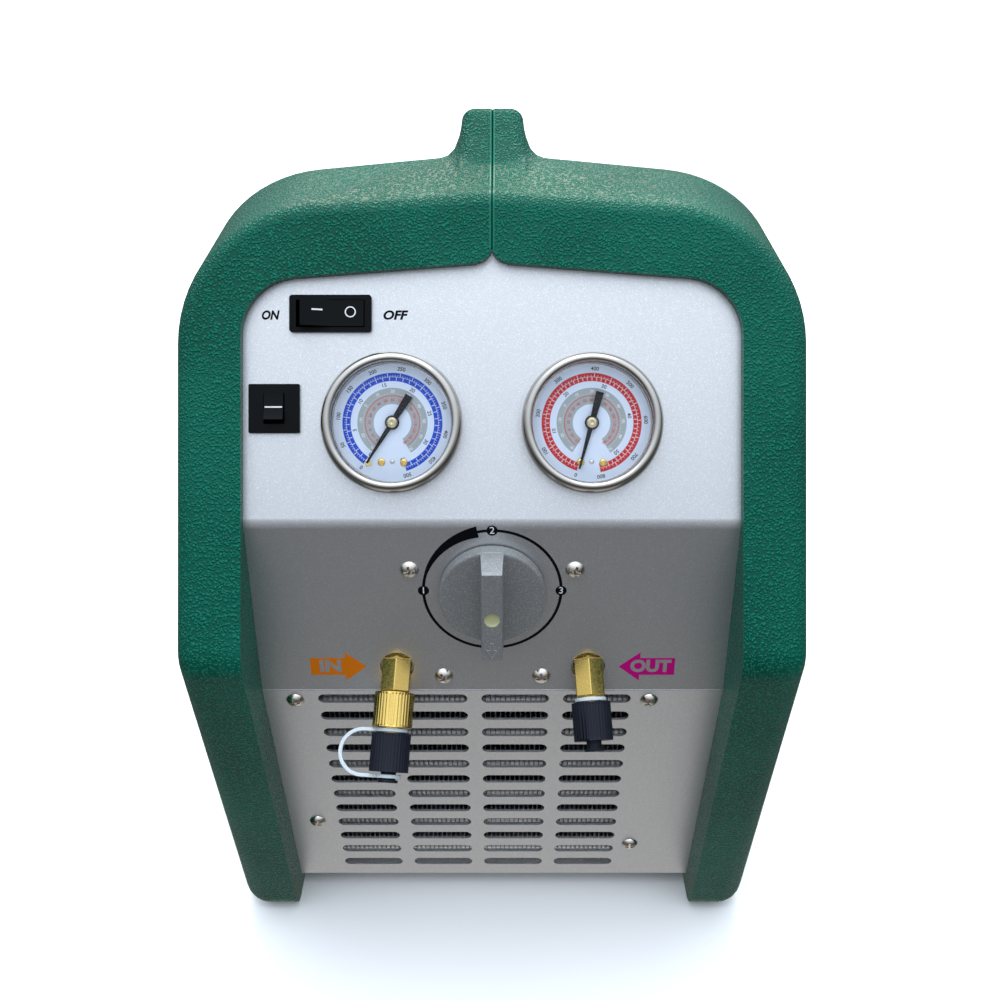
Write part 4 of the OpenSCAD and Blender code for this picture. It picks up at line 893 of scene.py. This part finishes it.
def makeSwitchMarks():
    look = switchLook
    base = moved(upperFrame, look["x"], look["y"])
    x, z = look["facet"]
    leftFacet = moved(base, x, 0, z) @ Matrix.Rotation(math.radians(look["tilt"]), 4, "Y")
    dash = bar("switchOnMark", *look["dash"])
    printOn(dash, moved(leftFacet, *look["dashSpot"]), whiteMarkAndHighlight, "power_rocker")
    circle = band("switchOffMark", *look["circle"], 0, 360, look["dash"][2], 48)
    printOn(circle, moved(base, *look["circleSpot"], z), whiteMarkAndHighlight, "power_rocker")
    # painted highlight: a white bar across the breaker rocker stands for the light its middle ridge catches
    ridgeHighlight = bar("breakerPaintedHighlight", *look["ridgeHighlight"])
    softenEdges(ridgeHighlight, 0.1)
    printOn(ridgeHighlight, moved(upperFrame, *look["ridgeHighlightSpot"]), whiteMarkAndHighlight, "breaker_rocker")
    for words, shift, width in look["words"]:
        font = (look["caps"], panelPrint["height"], look["lean"], look["weight"], width)
        word = lettering("switchWord" + words, words, *font)
        printOn(word, moved(base, shift, look["wordY"]), inkBlack)


def makeSelectorPrint():  # the ring round the knob, its dots and the wedge that grows towards 2
    look = panelPrint
    r, line, thin = look["ring"], look["line"], look["height"]
    ring = band("selectorRing", r - line, r + line, -195, 102, thin, 112)
    outer, inner = [], []
    steps = 16
    for index in range(steps + 1):
        turn = math.radians(165 - 63 * index / steps)
        half = line + 2 * index / steps
        outer.append(((r + half) * math.cos(turn), (r + half) * math.sin(turn)))
        inner.append(((r - half) * math.cos(turn), (r - half) * math.sin(turn)))
    marks = [ring, plate("selectorWedge", outer + inner[::-1], thin)]
    for figure, turn in ((1, 180), (2, 90), (3, 0)):
        at = (r * math.cos(math.radians(turn)), r * math.sin(math.radians(turn)))
        dot = turned("selectorDot", [(0, thin * 1.4), (look["dot"], thin * 1.4), (look["dot"], 0)], 40)
        place(dot, Matrix.Translation((at[0] * mm, at[1] * mm, 0)))
        marks.append(dot)
        number = lettering("selectorFigure" + str(figure), str(figure), look["figure"], thin)
        printOn(number, moved(valveFrame, *at, thin * 1.4), whiteMarkAndHighlight)
    printOn(joined(marks, "selectorMarks"), valveFrame, inkBlack)


def makeArrow(name, side, words, width, shift, ink):  # points at its port
    look = arrowLook
    t, n, p = (side * look[key] for key in ("tail", "neck", "tip"))
    body, head = look["body"], look["head"]
    outline = [(t, body), (n, body), (n, head), (p, 0), (n, -head), (n, -body), (t, -body)]
    base = moved(middleFrame, side * look["x"], look["z"])
    printOn(plate(name, outline, panelPrint["height"]), base, ink)
    word = lettering(name + "Word", words, look["caps"], 0.03, 0, 0.4, width)
    printOn(word, moved(base, side * shift, 0, panelPrint["height"]), silverPaintAndHighlight)


makeSwitchMarks()
makeSelectorPrint()
makeArrow("inletArrow", -1, "IN", 9.3, 3.4, inkOrange)
makeArrow("outletArrow", 1, "OUT", 17.6, 1.6, inkPink)
print("panel print ready")


# Knob and ports

knobLook = dict(
    edge=0.6, gripTop=20, arrowY=-16, arrowLine=0.28, arrowRise=0.35,
    arrow=[(0.75, 3.4), (0.75, 0), (2.4, 0), (0, -4.2), (-2.4, 0), (-0.75, 0), (-0.75, 3.4)],
    dimple=[(0, 0.05), (1.8, 0.12), (2.8, 0.32), (3.25, 0.7)], dimpleY=-1.6, dimpleZ=18.92,
)


def makeKnob():
    look = knobLook
    dressNode("valve_knob", knobPaint, "silver_knob", look["edge"], segments=3)
    dish = turned("knobDimple", look["dimple"], 48)
    useModifier(dish, "SOLIDIFY", thickness=0.1 * mm, offset=-1)
    softenEdges(dish, 0, smooth=60)
    dishPlace = moved(valveFrame, 0, look["dimpleY"], look["dimpleZ"])
    printOn(dish, dishPlace, dimplePaint, "selector_knob")
    arrow = chain("knobArrow", [(x, y, 0) for x, y in look["arrow"]])
    bpy.ops.mesh.select_all(action="SELECT")
    bpy.ops.mesh.edge_face_add()
    bpy.ops.mesh.inset(thickness=look["arrowLine"] * mm)
    bpy.ops.mesh.delete(type="FACE")
    clearPick()
    useModifier(arrow, "SOLIDIFY", thickness=look["arrowRise"] * mm, offset=0)
    softenEdges(arrow, 0.06)
    arrowPlace = moved(valveFrame, 0, look["arrowY"], look["gripTop"])
    # the raised arrow is real; its silver paint, lighter than the knob, is a painted highlight along its
    # outline
    printOn(arrow, arrowPlace, silverPaintAndHighlight, "selector_knob")


portLook = dict(
    step=41, height=168.5, tilt=48, splay=3.5, hexRadius=6.9, start=-2.8, chamfer=0.5, root=7, edge=0.25,
    inletNozzle=[(0, 10.9), (5.5, 10.9), (5.5, 17.8), (0, 17.8)],
    outletNozzle=[(0, 12.9), (4.45, 12.9), (4.45, 15.4), (5.5, 15.4), (5.5, 24.4), (4.45, 26.4), (0, 26.4)],
)


def portFrame(side):  # z runs out along the port
    look = portLook
    turn = Matrix.Rotation(math.radians(90 + look["tilt"]), 4, "X")
    splay = Matrix.Rotation(math.radians(side * look["splay"]), 4, "Y")
    return Matrix.Translation((side * look["step"] * mm, panelY, look["height"] * mm)) @ turn @ splay


def makeFitting(name, side, hexLength, nozzle):  # a hexagon whose root bends back into the panel's hole
    look = portLook
    r, cut, low = look["hexRadius"], look["chamfer"], look["start"]
    profile = [(0, low), (r, low), (r, hexLength - cut), (r - cut, hexLength), (0, hexLength)]
    body = turned(name + "Hexagon", profile, 6)
    place(body, Matrix.Rotation(math.radians(30), 4, "Z"))
    editFaces(body, lambda face: max(vert.co.z for vert in face.verts) < (low + 0.01) * mm)
    bpy.ops.mesh.delete(type="ONLY_FACE")
    clearPick()
    place(body, portFrame(side))
    editAll(body)
    bpy.ops.mesh.select_all(action="DESELECT")
    bpy.ops.mesh.select_non_manifold()
    bpy.ops.mesh.extrude_edges_move(TRANSFORM_OT_translate={"value": (0, look["root"] * mm, 0)})
    bpy.ops.mesh.edge_face_add()
    bpy.ops.mesh.select_all(action="SELECT")
    bpy.ops.mesh.normals_make_consistent(inside=False)
    clearPick()
    softenEdges(body, look["edge"], 2, 25, 30)
    neck = turned(name + "Nozzle", nozzle, 48)
    softenEdges(neck, 0, smooth=40)
    place(neck, portFrame(side))
    return finishPiece(joined([neck, body], name), "machine", yellowBrass, [name])


makeFitting("inlet_fitting", -1, 11, portLook["inletNozzle"])
makeFitting("outlet_fitting", 1, 13, portLook["outletNozzle"])
dressNode("filter_nut", yellowBrass, "yellow_brass", 0)
dressNode("inlet_cap", capPlastic, "black_plastic", 0)
dressNode("outlet_cap", capPlastic, "black_plastic", 0)
dressNode("inlet_strap", whiteNylon, "white_nylon", 0.3)
dressNode("outlet_strap", whiteNylon, "white_nylon", 0.3)
makeKnob()
print("knob and ports ready")


# Studio: pale floor, soft lights, camera at the photograph's angle

studio = dict(
    camera=(3.2, -580.7, 468.6), pitch=28, focalPixels=1175, imagePixels=1000, sensor=36, floorSize=60,
    sky=[(0.0, 0.85), (0.27, 0.1), (0.5, 0.3), (0.73, 1.15), (1.0, 2.3)],  # share of the way up, strength
    skyLow=(1.02, 1.0, 0.97), skyHigh=(0.9, 0.99, 1.1),
)


def makeFloor():
    clearPick()
    bpy.ops.mesh.primitive_plane_add(size=studio["floorSize"])
    floor = named("paleFloor")
    finish = Finish("paleFloor", (0.92, 0.92, 0.92), Roughness=0.7)
    cloud = finish.group("mottle", Scale=3.0, Speck=80.0)
    finish.tint(mathNode(finish.tree, "MULTIPLY", cloud["Cloud"], 0.2), (0.9, 0.9, 0.9))
    floor.data.materials.append(finish.material)
    floor.visible_glossy = False  # the room below the object stays dim, as a dark bench would
    floor.visible_diffuse = False


def makeSky():  # soft light from above that fades towards the ground
    world = bpy.data.worlds.new("studioSky")
    bpy.context.scene.world = world
    world.use_nodes = True
    tree = world.node_tree
    split = addNode(tree, "ShaderNodeSeparateXYZ")
    tree.links.new(addNode(tree, "ShaderNodeTexCoord").outputs["Generated"], split.inputs[0])
    height = mathNode(tree, "MULTIPLY_ADD", split.outputs["Z"], 0.5)
    height.node.inputs[2].default_value = 0.5
    shade = addNode(tree, "ShaderNodeFloatCurve")
    curve = shade.mapping.curves[0]
    top = studio["sky"][-1][1]
    for index, (place1d, strength) in enumerate(studio["sky"]):
        if 0 < index < len(studio["sky"]) - 1:
            curve.points.new(place1d, strength / top)
        else:
            curve.points[0 if index == 0 else -1].location = (place1d, strength / top)
    shade.mapping.update()
    tree.links.new(height, shade.inputs["Value"])
    background = tree.nodes["Background"]
    blue = addNode(tree, "ShaderNodeMix", dict(data_type="RGBA"))
    blue.inputs["A"].default_value = (*studio["skyLow"], 1)
    blue.inputs["B"].default_value = (*studio["skyHigh"], 1)
    tree.links.new(ramp(tree, height, 0.4, 0.7), blue.inputs["Factor"])
    tree.links.new(blue.outputs["Result"], background.inputs["Color"])
    tree.links.new(mathNode(tree, "MULTIPLY", shade.outputs[0], top), background.inputs["Strength"])


def addLight(name, place3d, target, size, power, colour=(1, 1, 1)):
    clearPick()
    bpy.ops.object.light_add(type="AREA", location=place3d)
    lamp = bpy.context.object
    lamp.name = name
    lamp.data.shape = "RECTANGLE"
    lamp.data.size, lamp.data.size_y = size
    lamp.data.energy = power
    lamp.data.color = colour
    aim = Vector(target) - Vector(place3d)
    lamp.rotation_euler = aim.to_track_quat("-Z", "Y").to_euler()


def makeStudio():
    makeFloor()
    makeSky()
    addLight("topSoftbox", (-0.1, -0.3, 1.8), (0, 0, 0.2), (1.4, 1.2), 8)
    addLight("backSoftbox", (0, 1.3, 1.5), (0, 0, 0.36), (1.6, 1), 24, (1, 0.94, 0.72))
    clearPick()
    bpy.ops.object.camera_add(
        location=[c * mm for c in studio["camera"]], rotation=(math.radians(90 - studio["pitch"]), 0, 0))
    camera = bpy.context.object
    camera.name = "photoCamera"
    camera.data.sensor_width = studio["sensor"]
    camera.data.lens = studio["focalPixels"] * studio["sensor"] / studio["imagePixels"]
    bpy.context.scene.camera = camera
    bpy.context.scene.view_settings.view_transform = "Standard"


makeStudio()
print("studio ready")
